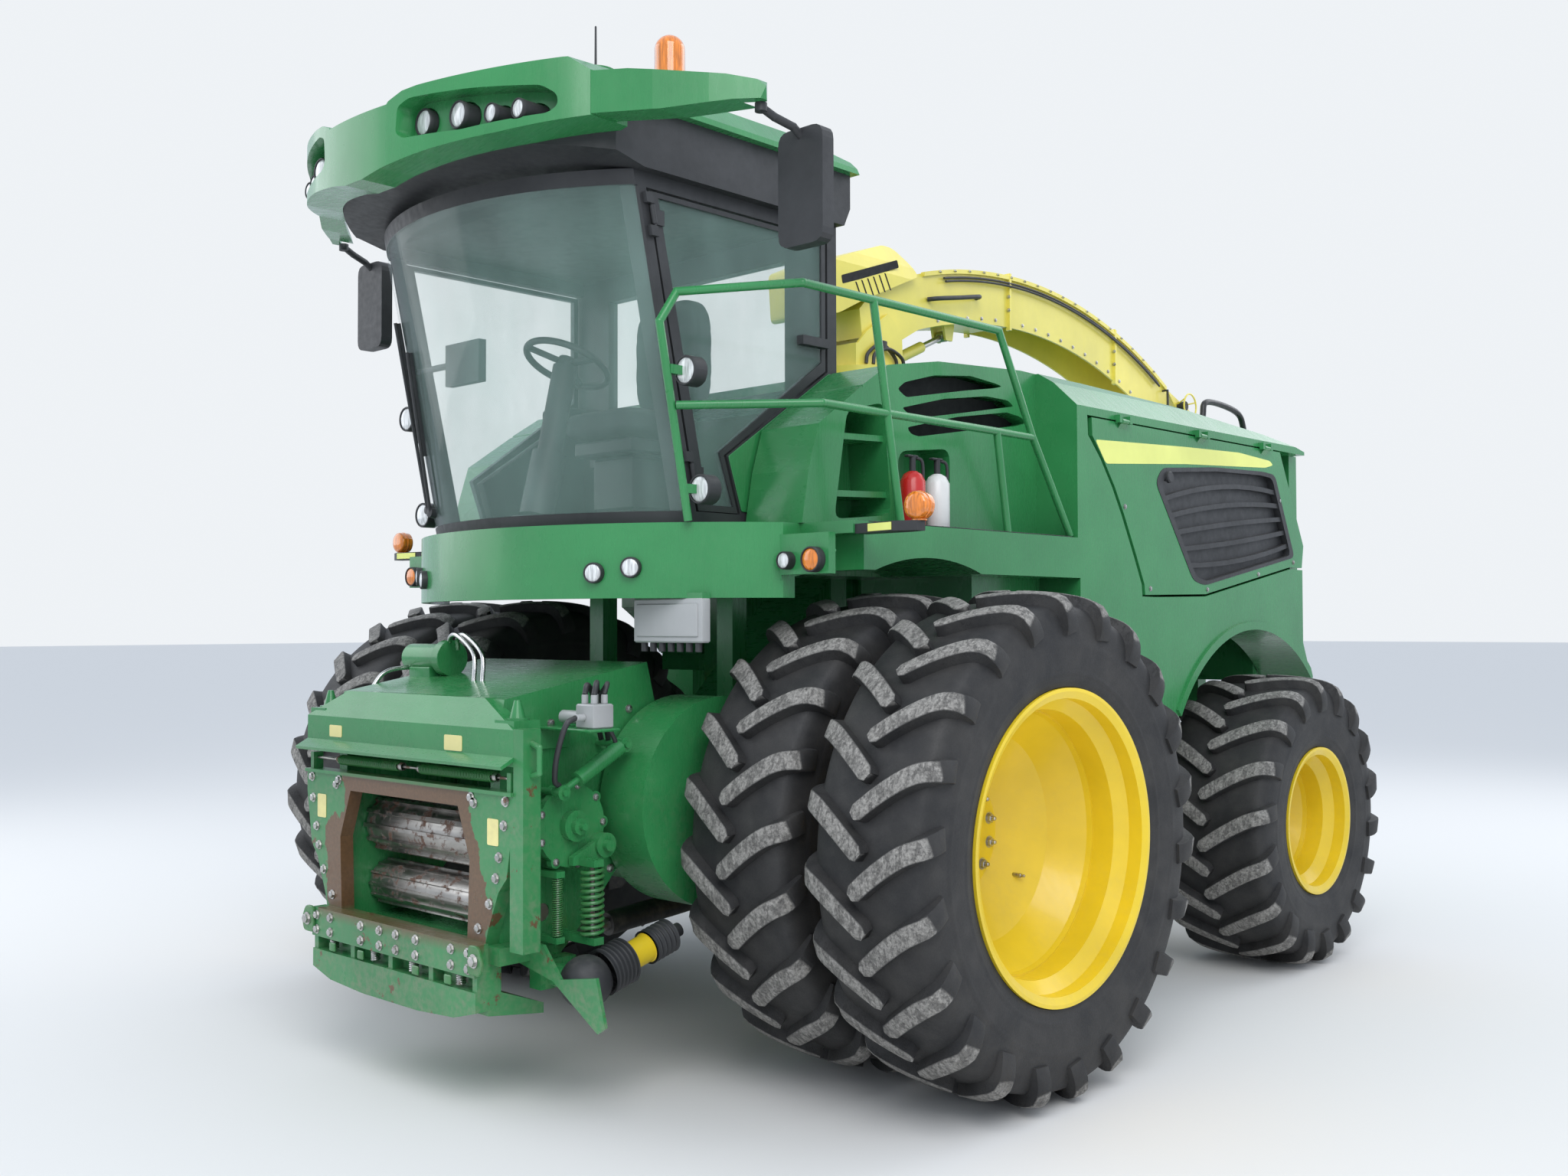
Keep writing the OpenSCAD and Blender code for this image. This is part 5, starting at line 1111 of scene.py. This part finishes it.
@dataclass
class FeederHead:
    """The feeder's springs, drive guard, bolts, plates and hydraulic parts."""

    plate_y: float = -1.600
    beam_y: float = -1.660

    def springs(self) -> None:
        """Winds the two level and the two upright springs, with their rods and hooks."""
        y = self.plate_y + 0.026
        level = [coil(at(a, y, 1.272), at(b, y, 1.272), 0.0185, 0.0035, 46, 14, 6)
                 for a, b in ((-0.503, -0.05), (0.11, 0.592))]
        thick = coil(at(0.780, -1.255, 0.658), at(0.780, -1.255, 0.914), 0.0400, 0.0075, 11, 24, 8)
        slim = coil(at(0.700, -1.360, 0.658), at(0.700, -1.360, 0.877), 0.0180, 0.0030, 26, 14, 6)
        add_piece("feeder_springs", join(*level, thick, slim), SPRING_GREEN, "feeder", ["feed_springs"])
        rods = [rod(at(-0.699, y, 1.272), at(0.699, y, 1.272), 0.006)]
        rods += [rod(at(0.780, -1.255, 0.653), at(0.780, -1.255, 0.919), 0.010),
                 rod(at(0.700, -1.360, 0.656), at(0.700, -1.360, 0.879), 0.006)]
        eye = [(0.012 * math.sin(t), 0.014 + 0.004 * math.cos(t)) for t in np.linspace(0, 2 * math.pi, 9)]
        rods += [revolve(eye, Axis.X, at(x, y, 1.272), 20) for x in (-0.515, -0.038, 0.098, 0.604)]
        add_piece("spring_rods", join(*rods), ROLL, "feeder")

    def guard(self) -> None:
        """Turns the ball, bellows and tube of the drive guard about its leaning axis."""
        lean = (0.0, math.cos(math.radians(15)), math.sin(math.radians(15)))
        start = at(0.830, -1.325, 0.500)
        ball = [(0.101 * math.sin(a), 0.101 * math.cos(a)) for a in np.radians(np.linspace(-88, 42, 20))]
        t = np.linspace(0, 1, 97)
        wide = np.stack([0.076 + 0.120 * t, 0.085 + 0.006 * np.cos(t * 12 * math.pi)], 1)
        slim = np.stack([0.311 + 0.120 * t, 0.064 + 0.005 * np.cos(t * 10 * math.pi)], 1)
        black = join(revolve(ball, count=40), revolve(wide, count=40),
                     revolve([(0.196, 0.086), (0.199, 0.060)], count=40), revolve(slim, count=40),
                     revolve([(0.431, 0.069), (0.434, 0.030), (0.489, 0.028), (0.490, 0.0)], count=40))
        tube = revolve([(0.198, 0.060), (0.200, 0.0555), (0.309, 0.0555), (0.311, 0.060)], count=40)
        add_piece("guard_bellows", aimed(black, lean, start), PLASTIC, "feeder", ["drive_guard"])
        add_piece("guard_tube", aimed(tube, lean, start), YELLOW, "feeder")

    def fasteners(self) -> None:
        """Bolts the plate, the beam, the gearcase and the side walls."""
        edge = ((0.70, 1.19), (0.69, 1.10), (0.66, 0.98), (0.64, 0.90), (0.60, 0.80), (0.50, 1.17),
                (0.53, 0.70), (0.48, 1.19))
        front = [(x, self.plate_y, z) for x, z in edge]
        beam = [(x, self.beam_y, z) for x in (0.55, 0.44, 0.20, 0.06) for z in (0.62, 0.56)]
        places = np.array([at(*p) for p in front + beam])
        steel = bolts(places, (0, -1, 0), 0.015, 0.014).both()
        lobes = np.radians(np.arange(9) * 40.0)
        cover = np.stack([0 * lobes + 0.688, -1.280 + 0.154 * np.cos(lobes) + FRONT_AXLE_Y,
                          1.070 + 0.154 * np.sin(lobes)], 1)
        small = bolts(cover, (1, 0, 0), 0.011, 0.010)
        wall = np.array([at(0.580, y, z) for y, z in (
            (-1.50, 1.40), (-1.30, 1.46), (-1.05, 1.52), (-0.90, 1.50), (-1.48, 0.62), (-1.30, 0.62),
            (-1.00, 0.86), (-1.44, 1.25))])
        sides = bolts(wall, (1, 0, 0), 0.013, 0.012).both()
        add_piece("feeder_bolts", join(steel, small, sides), STEEL, "feeder")

    def latches(self) -> None:
        """Puts the latch ears at the beam's ends, with their pins."""
        ear = plate(rounded([(0.560, 0.545), (0.640, 0.545), (0.655, 0.60), (0.625, 0.655), (0.565, 0.655)],
                            0.02), Axis.Y, self.beam_y - 0.014 + FRONT_AXLE_Y,
                    self.beam_y - 0.001 + FRONT_AXLE_Y)
        slots = [box(at(x - 0.022, self.beam_y - 0.006, 0.484),
                     at(x + 0.022, self.beam_y + 0.001, 0.520)) for x in (-0.42, -0.20, 0.20, 0.42)]
        add_piece("latch_ears", join(ear.both(), *slots), SPRING_GREEN, "feeder")
        pins = bolts(np.array([at(0.605, self.beam_y - 0.014, 0.60)]), (0, -1, 0), 0.020, 0.018).both()
        y = self.beam_y + 0.03
        coils = [coil(at(x, y, 0.485), at(x, y, 0.532), 0.016, 0.004, 6, 14, 6)
                 for x in (-0.46, -0.14, 0.14, 0.46)]
        add_piece("latch_pins", join(pins, *coils), STEEL, "feeder")

    def plates(self) -> None:
        """Lays the blank plates on the front plate and the hood box."""
        y = self.plate_y + FRONT_AXLE_Y
        blanks = [plate(rounded([(x, z), (x + w, z), (x + w, z + h), (x, z + h)], 0.008), Axis.Y, y - 0.0022,
                        y - 0.0002, 0.0005)
                  for x, z, w, h in ((0.585, 1.02, 0.07, 0.10), (-0.655, 1.02, 0.07, 0.10),
                                     (0.30, 1.36, 0.12, 0.06), (-0.56, 1.37, 0.10, 0.05))]
        add_piece("feeder_blank_plates", join(*blanks), BLANK, "feeder")

    def hydraulics(self) -> None:
        """Puts the valve block on its bracket, with the clamped lines and the motor's bent pipes."""
        bracket = join(box(at(0.580, -1.37, 1.440), at(0.905, -1.22, 1.452)),
                       box(at(0.581, -1.37, 1.36), at(0.593, -1.22, 1.44)))
        motor = join(rod(at(-0.62, -1.15, 1.70), at(-0.36, -1.15, 1.70), 0.062, 28),
                     rod(at(-0.36, -1.15, 1.70), at(-0.31, -1.15, 1.70), 0.080, 28),
                     box(at(-0.56, -1.21, 1.60), at(-0.40, -1.09, 1.66)))
        add_piece("feed_motor", join(bracket, motor), GREEN, "feeder")
        block = join(box(at(0.79, -1.345, 1.452), at(0.895, -1.245, 1.545), 0.006),
                     rod(at(0.66, -1.30, 1.49), at(0.79, -1.30, 1.49), 0.026),
                     *[rod(at(x, y, 1.545), at(x, y, 1.580), 0.013)
                       for x in (0.815, 0.87) for y in (-1.32, -1.27)],
                     rod(at(0.84, -1.345, 1.495), at(0.84, -1.385, 1.495), 0.014))
        add_piece("valve_block", block, SILVER, "feeder")
        lines = [tube_through([(0.84, -1.385, 1.495), (0.84, -1.43, 1.47), (0.80, -1.44, 1.36),
                               (0.76, -1.42, 1.26), (0.742, -1.385, 1.235)], 0.011, 30),
                 tube_through([(0.815, -1.32, 1.58), (0.805, -1.30, 1.615), (0.74, -1.22, 1.57),
                               (0.66, -1.13, 1.46), (0.60, -1.06, 1.38)], 0.011, 40),
                 tube_through([(0.87, -1.32, 1.58), (0.86, -1.30, 1.625), (0.78, -1.23, 1.59),
                               (0.68, -1.10, 1.43), (0.60, -1.02, 1.33)], 0.011, 40),
                 tube_through([(0.87, -1.27, 1.58), (0.85, -1.24, 1.62), (0.74, -1.20, 1.52),
                               (0.745, -1.13, 1.42), (0.742, -1.10, 1.37)], 0.009, 30)]
        add_piece("clamped_lines", join(*lines), PLASTIC, "feeder")
        bent = [tube_through([(-0.33 + k, -1.15, 1.74), (-0.30 + k, -1.17, 1.79), (-0.20 + k, -1.20, 1.80),
                              (-0.05 + k, -1.22, 1.72), (-0.02 + k, -1.24, 1.60)], 0.010, 30)
                for k in (0.0, 0.06)]
        bent.append(tube_through([(-0.60, -1.38, 1.56), (-0.60, -1.30, 1.64),
                                  (-0.58, -1.15, 1.66)], 0.010, 20))
        add_piece("bent_pipes", join(*bent), BRIGHT, "feeder")

    def build(self) -> None:
        """Builds the whole head."""
        self.springs()
        self.guard()
        self.fasteners()
        self.latches()
        self.plates()
        self.hydraulics()


@dataclass
class Lamps:
    """Lamps: in the roof pods, on the fascia, the railing and the corner walls, and the beacon.

    Attributes:
        roof_top: height of the roof's top face.
        visor_y: middle of the visor's arc.
        visor_radius: its radius.
        fascia_y: middle of the fascia's arc.
        fascia_radius: its radius.
        corner_y: front of the corner walls.
    """

    roof_top: float = 3.9923
    visor_y: float = -0.430
    visor_radius: float = 1.315
    fascia_y: float = 0.295
    fascia_radius: float = 1.533
    corner_y: float = -0.641

    def build(self) -> None:
        """Builds bezels, lenses, the beacon and the antenna."""
        bezels, lenses, cups = [], [], []
        for x, y, z, d in ((0.328, -1.725, 3.785, 0.110), (0.506, -1.690, 3.782, 0.110),
                           (0.644, -1.640, 3.768, 0.078), (0.759, -1.600, 3.768, 0.078)):
            bezel, lens = lamp(d / 2)
            bezels.append(aimed(bezel, (0, -1, 0), at(x, y + 0.008, z)))
            lenses.append(aimed(lens, (0, -1, 0), at(x, y + 0.008, z)))
            back = self.visor_y - math.sqrt(self.visor_radius**2 - (x + d / 2) ** 2) + 0.003
            cups.append(rod(at(x, y + 0.012, z), at(x, back, z), d / 2 - 0.002, 32))
        beacon = at(0.790, -0.860, self.roof_top)
        base = revolve([(0, 0), (0, 0.074), (0.045, 0.074), (0.060, 0.066), (0.062, 0.0)], Axis.Z, beacon, 48)
        mast = revolve([(0, 0), (0, 0.012), (0.015, 0.012), (0.018, 0.005), (0.180, 0.004), (0.185, 0)], Axis.Z,
                       at(0.780, -1.240, self.roof_top), 16)
        add_piece("roof_lamp_cups", join(join(*cups).both(), base, mast), PLASTIC, "machine", ["roof_lamps"])
        a = np.linspace(0, math.pi / 2, 14)
        dome = [(0.061, 0.063), (0.190, 0.0625)]
        dome += [(0.190 + 0.062 * math.sin(t), 0.0625 * math.cos(t)) for t in a[1:]]
        add_piece("beacon_dome", revolve(dome, Axis.Z, beacon, 48), AMBER, "machine")
        for angle, z in ((23.4, 2.052), (29.4, 2.072)):
            t = math.radians(angle)
            way = (math.sin(t), -math.cos(t), 0.0)
            bezel, lens = lamp(0.042)
            place = at(self.fascia_radius * way[0], self.fascia_y + self.fascia_radius * way[1], z)
            bezels.append(aimed(bezel, way, place))
            lenses.append(aimed(lens, way, place))
        for x, y, z in ((0.985, -0.955, 2.840), (0.975, -0.870, 2.380)):
            bezel, lens = lamp(0.060)
            bezels.append(aimed(bezel, (0, -1, 0), at(x, y + 0.001, z)))
            lenses.append(aimed(lens, (0, -1, 0), at(x, y + 0.001, z)))
        for x, size, ambers in ((1.242, 0.036, False), (1.385, 0.050, True)):
            bezel, lens = lamp(size)
            place = at(x, self.corner_y, 2.095)
            bezels.append(aimed(join(bezel.moved((0, 0, 0.030)),
                                     revolve([(0.0, size), (0.022, size)], count=40)), (0, -1, 0), place))
            dome = aimed(lens.moved((0, 0, 0.030)), (0, -1, 0), place)
            if ambers:
                add_piece("corner_amber_lenses", dome.both(), AMBER, "machine")
            else:
                lenses.append(dome)
        add_piece("lamp_bezels", join(*bezels).both(), PLASTIC, "machine")
        add_piece("lamp_lenses", join(*lenses).both(), CLEAR, "machine")


@dataclass
class Cab:
    """Fittings of the cab: seat, corner panels, wipers and mirror faces."""

    def glass_y(self, x: float, z: float) -> float:
        """Gives the windshield's outer face at a place, a leaning cylinder's ellipse, from the front axle."""
        lean = math.radians(12)
        return 0.295 - math.tan(lean) * (z - 2.27) - math.sqrt(1.425**2 - x * x) / math.cos(lean)

    def cushion(self, half: Point, centre: Point, channels: int, along: int) -> Shell:
        """Makes a crowned cushion: a superellipsoid whose top swells and whose sewn channels sink in.

        Args:
            half: half sizes.
            centre: its middle, from the front axle.
            channels: number of sewn channels.
            along: column that the channels repeat along.

        Returns:
            The closed surface.
        """
        u = np.linspace(-math.pi / 2, math.pi / 2, 49)[:, None]
        v = np.linspace(0, 2 * math.pi, 96, endpoint=False)[None]
        p = np.stack([signed_power(np.cos(u), 0.45) * signed_power(np.cos(v), 0.35),
                      signed_power(np.cos(u), 0.45) * signed_power(np.sin(v), 0.35),
                      signed_power(np.sin(u), 0.55) * np.ones_like(v)], -1)
        groove = np.exp(-((((p[..., along] * channels / 2 + 0.5) % 1.0) - 0.5) / 0.10) ** 2)
        sink = 1.0 - 0.075 * groove * (np.abs(p[..., along]) < 0.86)
        thin = int(np.argmin(half))
        one, other = p[..., (thin + 1) % 3], p[..., (thin + 2) % 3]
        p[..., thin] *= sink * (1.0 + 0.06 * (1 - one ** 2) * (1 - other ** 2))
        return grid(p * np.asarray(half) * 0.94 + np.asarray(at(*centre)), around=True)

    def seat(self) -> None:
        """Pads the seat, over its pedestal and armrest."""
        base = self.cushion((0.260, 0.260, 0.072), (0, -0.380, 2.760), 4, 0)
        back = self.cushion((0.240, 0.062, 0.288), (0, -0.120, 3.112), 5, 2)
        rest = self.cushion((0.068, 0.255, 0.048), (-0.350, -0.360, 2.830), 1, 0)
        cushions = add_piece("seat_cushions", join(base, back, rest), CUSHION, "machine", ["seat"])
        foot = join(box(at(-0.195, -0.555, 2.301), at(0.195, -0.165, 2.36), 0.01),
                    box(at(-0.14, -0.50, 2.36), at(0.14, -0.22, 2.62), 0.02),
                    box(at(-0.20, -0.56, 2.62), at(0.20, -0.16, 2.688), 0.01),
                    box(at(-0.415, -0.295, 2.601), at(-0.265, -0.185, 2.78), 0.01))
        add_piece("seat_pedestal", foot, PLASTIC, "machine")

    def wipers(self) -> None:
        """Parks two wiper arms with their blades on the right of the windshield."""
        arms = []
        for x0, x1, low, high in ((-0.70, -0.66, 2.38, 3.22), (-0.62, -0.50, 2.36, 3.06)):
            z = np.linspace(low, high, 12)
            x = np.linspace(x0, x1, 12)
            path = np.array([at(a, self.glass_y(a, b) - 0.026, b) for a, b in zip(x, z)])
            arms.append(sweep(path, circle(0.008, 8), (1, 0, 0)))
            blade = np.array([at(a, self.glass_y(a, b) - 0.012, b) for a, b in zip(x[4:], z[4:])])
            arms.append(sweep(blade, rounded([(-0.008, -0.010), (0.008, -0.010), (0.004, 0.010),
                                              (-0.004, 0.010)], 0.003, 3), (0, -1, 0)))
            arms.append(aimed(revolve([(0, 0.024), (0.030, 0.022), (0.034, 0.0)], count=20), (0, -1, 0.1),
                              at(x0, self.glass_y(x0, low) - 0.002, low)))
        add_piece("wipers", join(*arms), PLASTIC, "machine")

    def mirror_faces(self) -> None:
        """Sets a bright mirror in the back of each head."""
        face = plate(rounded([(1.402, 3.277), (1.598, 3.277), (1.598, 3.687), (1.402, 3.687)], 0.045, 6),
                     Axis.Y, -0.790 + FRONT_AXLE_Y, -0.786 + FRONT_AXLE_Y, 0.001)
        add_piece("mirror_faces", face.both(), BRIGHT, "machine")

    def corner_panels(self) -> None:
        """Sheets the filled corner below each side window in green, a little inside its outline."""
        outline = rounded(side_view([(-0.545, 2.312), (-0.622, 2.538), (0.004, 2.954), (0.052, 2.954),
                                     (0.052, 2.312)]), 0.008, 3)
        sheet = plate(outline, Axis.X, 0.8803, 0.8853, 0.0015)
        add_piece("cab_corner_panels", sheet.both(), GREEN, "machine")

    def build(self) -> None:
        """Builds the fittings."""
        self.seat()
        self.corner_panels()
        self.wipers()
        self.mirror_faces()


@dataclass
class Bodywork:
    """Stripes, painted vent shade, knobs, treads, the junction box, marker lenses, bottles and the rear
    handrail.
    """

    side: float = 1.450

    def stripes(self) -> None:
        """Lays the blank stripe over each side panel, pointed at its rear."""
        outline = [(1.385, 2.619), (1.290, 2.728), (2.18, 2.768), (2.78, 2.788), (3.16, 2.772), (3.20, 2.750),
                   (3.10, 2.728), (2.18, 2.678)]
        film = plate(rounded(side_view(outline), 0.02, 4), Axis.X, self.side + 0.0003, self.side + 0.0013,
                     0.0003)
        add_pair("side_stripe", film, STRIPE, "panel")

    def vent_shade_backings(self) -> None:
        """Backs the three crescent vents with near-black sheets: painted shade for the dark inside the vents.
        """
        table = [[(70, 2858), (120, 2893), (330, 2948), (600, 2978), (800, 2966), (850, 2958), (790, 2943),
                  (560, 2906), (260, 2852), (130, 2828)],
                 [(100, 2780), (400, 2851), (720, 2898), (895, 2898), (945, 2874), (820, 2852), (560, 2806),
                  (320, 2764), (170, 2746)],
                 [(135, 2698), (500, 2780), (885, 2840), (1000, 2830), (1055, 2806), (960, 2782), (560, 2722),
                  (215, 2665), (160, 2672)]]
        # Each backing is a flat near-black sheet behind a vent: painted shade standing for the vent's dark
        # inside.
        backs = [plate([(y / 1000 + FRONT_AXLE_Y, z / 1000) for y, z in v], Axis.X, 1.1305, 1.134,
                       0.0005) for v in table]
        add_piece("vent_netting", join(*backs).both(), NEAR_BLACK_SHADE, "machine")

    def treads(self) -> None:
        """Covers the walkways and the recessed steps with black tread."""
        deck = box(at(1.235, -0.415, 2.2505), at(1.435, 1.115, 2.256), 0.002)
        y, z = np.meshgrid(np.arange(-0.39, 1.10, 0.045), np.arange(1.255, 1.43, 0.045), indexing="ij")
        studs = revolve([(0, 0.012), (0.004, 0.009), (0.004, 0)], Axis.Z, (0, 0, 2.256), 10).copies(
            np.stack([z.ravel(), y.ravel() + FRONT_AXLE_Y, 0 * y.ravel()], 1))
        add_piece("walkway_tread", join(deck, studs).both(), TREAD, "machine")

    def bottles(self) -> None:
        """Turns the two extinguishers, each with its valve head and handle."""
        low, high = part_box("extinguishers")
        side = 1 if low.x + high.x > 0 else -1
        x = (low.x + high.x) / 2
        radius = (high.x - low.x) / 2 - 0.001
        for name, y, finish in (("red_bottle", low.y + radius, RED), ("white_bottle", high.y - radius, WHITE)):
            body = revolve([(0, 0), (0.002, radius * 0.90), (0.012, radius), (0.205, radius),
                            (0.235, radius * 0.72), (0.248, radius * 0.34)],
                           Axis.Z, (x, y, low.z), 40)
            add_piece(name, body, finish, "machine", ["extinguishers"] if finish is RED else [])
            head = join(rod((x, y, low.z + 0.245), (x, y, high.z - 0.012), 0.014),
                        box((x - 0.012, y - 0.045, high.z - 0.022), (x + 0.012, y + 0.03, high.z - 0.012)),
                        pipe([(x, y + 0.02, high.z - 0.02), (x + side * 0.02, y + 0.045, high.z - 0.05),
                              (x + side * 0.01, y + 0.05, low.z + 0.12)], 0.007, 20))
            add_piece(name + "_head", head, PLASTIC, "machine")

    def small_parts(self) -> None:
        """Adds the louvre knobs, bolts, junction box, marker lenses and the rear handrail."""
        knob = aimed(revolve([(0, 0.020), (0.012, 0.020), (0.016, 0.030), (0.030, 0.030), (0.036, 0.024),
                              (0.036, 0)], count=28),
                     (1, 0, 0), at(self.side - 0.014, 1.985, 2.595))
        add_pair("louvre_knob", knob, PLASTIC, "panel")
        casing = join(box(at(0.617, -0.904, 1.772), at(1.023, -0.858, 1.950), 0.006),
                      box(at(0.640, -0.910, 1.795), at(1.000, -0.903, 1.928), 0.004))
        add_piece("junction_box", casing, SILVER, "machine")
        glands = join(*[rod(at(x, -0.882, 1.772), at(x, -0.882, 1.735), 0.014)
                        for x in np.linspace(0.66, 0.98, 7)])
        add_piece("junction_glands", glands, PLASTIC, "machine")
        t = np.linspace(0, math.pi / 2, 8)
        half = [(0.024 + 0.016 * math.sin(a), 0.0535 * math.cos(a) ** 0.6) for a in t]
        seam = [(-0.003, 0.0535), (-0.002, 0.0565), (0.002, 0.0565), (0.003, 0.0535)]
        drum = revolve([(-w, r) for w, r in half[::-1]] + seam + half, Axis.Y, at(1.767, -0.480, 2.292), 48)
        neck = revolve([(2.2345, 0.030), (2.240, 0.030), (2.244, 0.0185), (2.262, 0.0185)], Axis.Z,
                       (1.767, -0.480 + FRONT_AXLE_Y, 0), 28)
        add_piece("marker_lenses", join(drum, neck).both(), AMBER, "machine")
        corners = ((1.560, -0.5349), (1.695, -0.5594), (1.695, -0.5624), (1.560, -0.5379))
        strip = plate([(x, y + FRONT_AXLE_Y) for x, y in corners], Axis.Z, 2.200, 2.230, 0.0008)
        add_piece("marker_reflectors", strip.both(), STRIPE, "machine")
        rail = tube_through([(1.10, 3.02, 2.86), (1.10, 3.04, 3.05), (1.10, 3.10, 3.14), (1.10, 3.45, 3.12),
                             (1.10, 3.55, 3.03), (1.10, 3.57, 2.84)], 0.018, 60)
        add_piece("hood_handrail", rail.both(), BLACK, "machine")
        heads = np.array([at(self.side, y, z) for y, z in (
            (1.56, 2.42), (1.80, 2.02), (2.40, 2.025), (3.00, 2.12), (3.45, 2.20), (3.28, 2.55))])
        add_pair("panel_screws", bolts(heads, (1, 0, 0), 0.010, 0.007), STEEL, "panel")

    def build(self) -> None:
        """Builds the details of the body."""
        self.stripes()
        self.vent_shade_backings()
        self.treads()
        self.bottles()
        self.small_parts()


@dataclass
class Spout:
    """Bolts, the cover's dark band with slots painted as near-black shade, lines, handle and guard ring of the
    discharge spout.
    """

    radius: float = 3.700
    middle: float = 2.550
    centre_z: float = 0.220

    def z(self, radius: float, y: float | np.ndarray) -> float | np.ndarray:
        """Gives the height at y of an arc of the spout.

        It is the centre's height plus the root of the radius squared less the run squared.
        """
        return self.centre_z + np.sqrt(radius**2 - (np.asarray(y) - self.middle) ** 2)

    def build(self) -> None:
        """Builds what rides on the arm, its flap and its tip."""
        y = np.arange(1.76, 4.28, 0.14)
        rows = np.stack([0 * y + 0.168, y + FRONT_AXLE_Y, self.z(self.radius - 0.006, y)], 1)
        low = np.stack([0 * y + 0.150, y + FRONT_AXLE_Y, self.z(self.radius - 0.270, y)], 1)
        heads = join(bolts(rows, (0, 0, 1), 0.009, 0.008), bolts(low, (1, 0, 0), 0.009, 0.008))
        flange = [(0.162, y0 + FRONT_AXLE_Y, float(self.z(r, y0))) for y0 in (2.440, 3.640)
                  for r in (3.66, 3.58, 3.50)]
        ring = bolts(np.array(flange), (0, -1, 0), 0.009, 0.008)
        add_piece("spout_bolts", join(heads, ring).both(), STEEL, "spout")
        t = np.linspace(1.80, 4.20, 60)
        line = [sweep(np.stack([0 * t + 0.166 + k * 0.012, t + FRONT_AXLE_Y,
                                self.z(self.radius - 0.040 - k * 0.02, t)], 1), circle(0.007, 8), (1, 0, 0))
                for k in (0, 1)]
        handle = tube_through([(0.156, 1.66, 3.66), (0.205, 1.70, 3.665), (0.215, 1.90, 3.70),
                               (0.205, 2.08, 3.735), (0.156, 2.12, 3.74)], 0.013, 40)
        add_piece("spout_lines", join(*line, handle), PLASTIC, "spout")
        self.tip_fittings()
        self.root_hoses()
        outline = side_view([(0.870, 3.655), (1.000, 3.700), (1.330, 3.815), (1.345, 3.775), (1.010, 3.655),
                             (0.880, 3.612)])
        band = plate(rounded(outline, 0.008, 3), Axis.X, 0.2052, 0.2062, 0.0003)
        starts = zip(np.linspace(0.98, 1.22, 6), np.linspace(3.640, 3.725, 6))
        # The six slots are near-black films on the cover: painted shade where the slot openings look dark.
        slots = [plate(rounded(side_view([(y, z), (y + 0.012, z), (y + 0.060, z - 0.085),
                                          (y + 0.048, z - 0.085)]), 0.004, 3),
                       Axis.X, 0.2052, 0.2064, 0.0003) for y, z in starts]
        add_piece("cover_band", join(band, *slots).both(), NEAR_BLACK_SHADE, "spout")

    def tip_fittings(self) -> None:
        """Hangs the round guard with its actuator on the flap's side, and the hoops of the arm and the tip."""
        turn = np.linspace(0, 2 * math.pi, 49)
        ring = np.array([at(0.235, 4.520 + 0.085 * math.cos(a), 3.355 + 0.085 * math.sin(a))
                         for a in turn[:-1]])
        guard = [sweep(np.vstack([ring, ring[:1]]), circle(0.006, 8), (1, 0, 0))]
        for a in (0.4, 2.5, 4.6):
            c, k = math.cos(a), math.sin(a)
            guard.append(tube_through([(0.149, 4.520 + 0.030 * c, 3.358 + 0.030 * k),
                                       (0.190, 4.520 + 0.055 * c, 3.356 + 0.055 * k),
                                       (0.235, 4.520 + 0.084 * c, 3.355 + 0.084 * k)], 0.005, 12, 8))
        add_piece("actuator_guard", join(*guard), SPOUT_YELLOW, "flap")
        motor = join(rod(at(0.149, 4.520, 3.360), at(0.205, 4.520, 3.360), 0.034, 28),
                     box(at(0.149, 4.49, 3.335), at(0.170, 4.56, 3.375)))
        add_piece("flap_actuator", motor, PLASTIC, "flap")
        hoop = tube_through([(0.149, 4.290, 3.445), (0.185, 4.290, 3.445), (0.190, 4.290, 3.435),
                             (0.190, 4.290, 3.325), (0.185, 4.290, 3.315), (0.149, 4.290, 3.315)], 0.007, 40)
        add_piece("arm_hoop", hoop, PLASTIC, "spout")
        tip = tube_through([(0.149, 4.840, 3.270), (0.195, 4.845, 3.285), (0.200, 4.880, 3.300),
                            (0.200, 4.960, 3.290), (0.195, 4.990, 3.270), (0.149, 4.995, 3.235)], 0.007, 50)
        add_piece("tip_hoop", tip, PLASTIC, "tip")

    def root_hoses(self) -> None:
        """Lays the clamped rigid lines over the turret's cheek, each an arc from the ring back to it."""
        lines = [tube_through([(x, a, 3.225), (x, a + 0.020, 3.285), (x, (a + b) / 2, top),
                               (x, b - 0.020, 3.285), (x, b, 3.225)], 0.010, 40)
                 for x, a, b, top in ((0.190, 1.085, 1.345, 3.345), (0.206, 1.125, 1.385, 3.320))]
        clamp = box(at(0.170, 1.195, 3.315), at(0.214, 1.235, 3.360))
        add_piece("turret_lines", join(*lines, clamp), PLASTIC, "spout_base")


def main() -> None:
    """Builds the studio and every sub-assembly in order."""
    logging.basicConfig(level=logging.INFO, format="%(name)s: %(message)s")
    Studio().build()
    dress_nodes()
    Wheels().build()
    for part in (WheelFittings(), FeederHead(), Lamps(), Cab(), Bodywork(), Spout()):
        part.build()


if __name__ == "__main__":
    main()
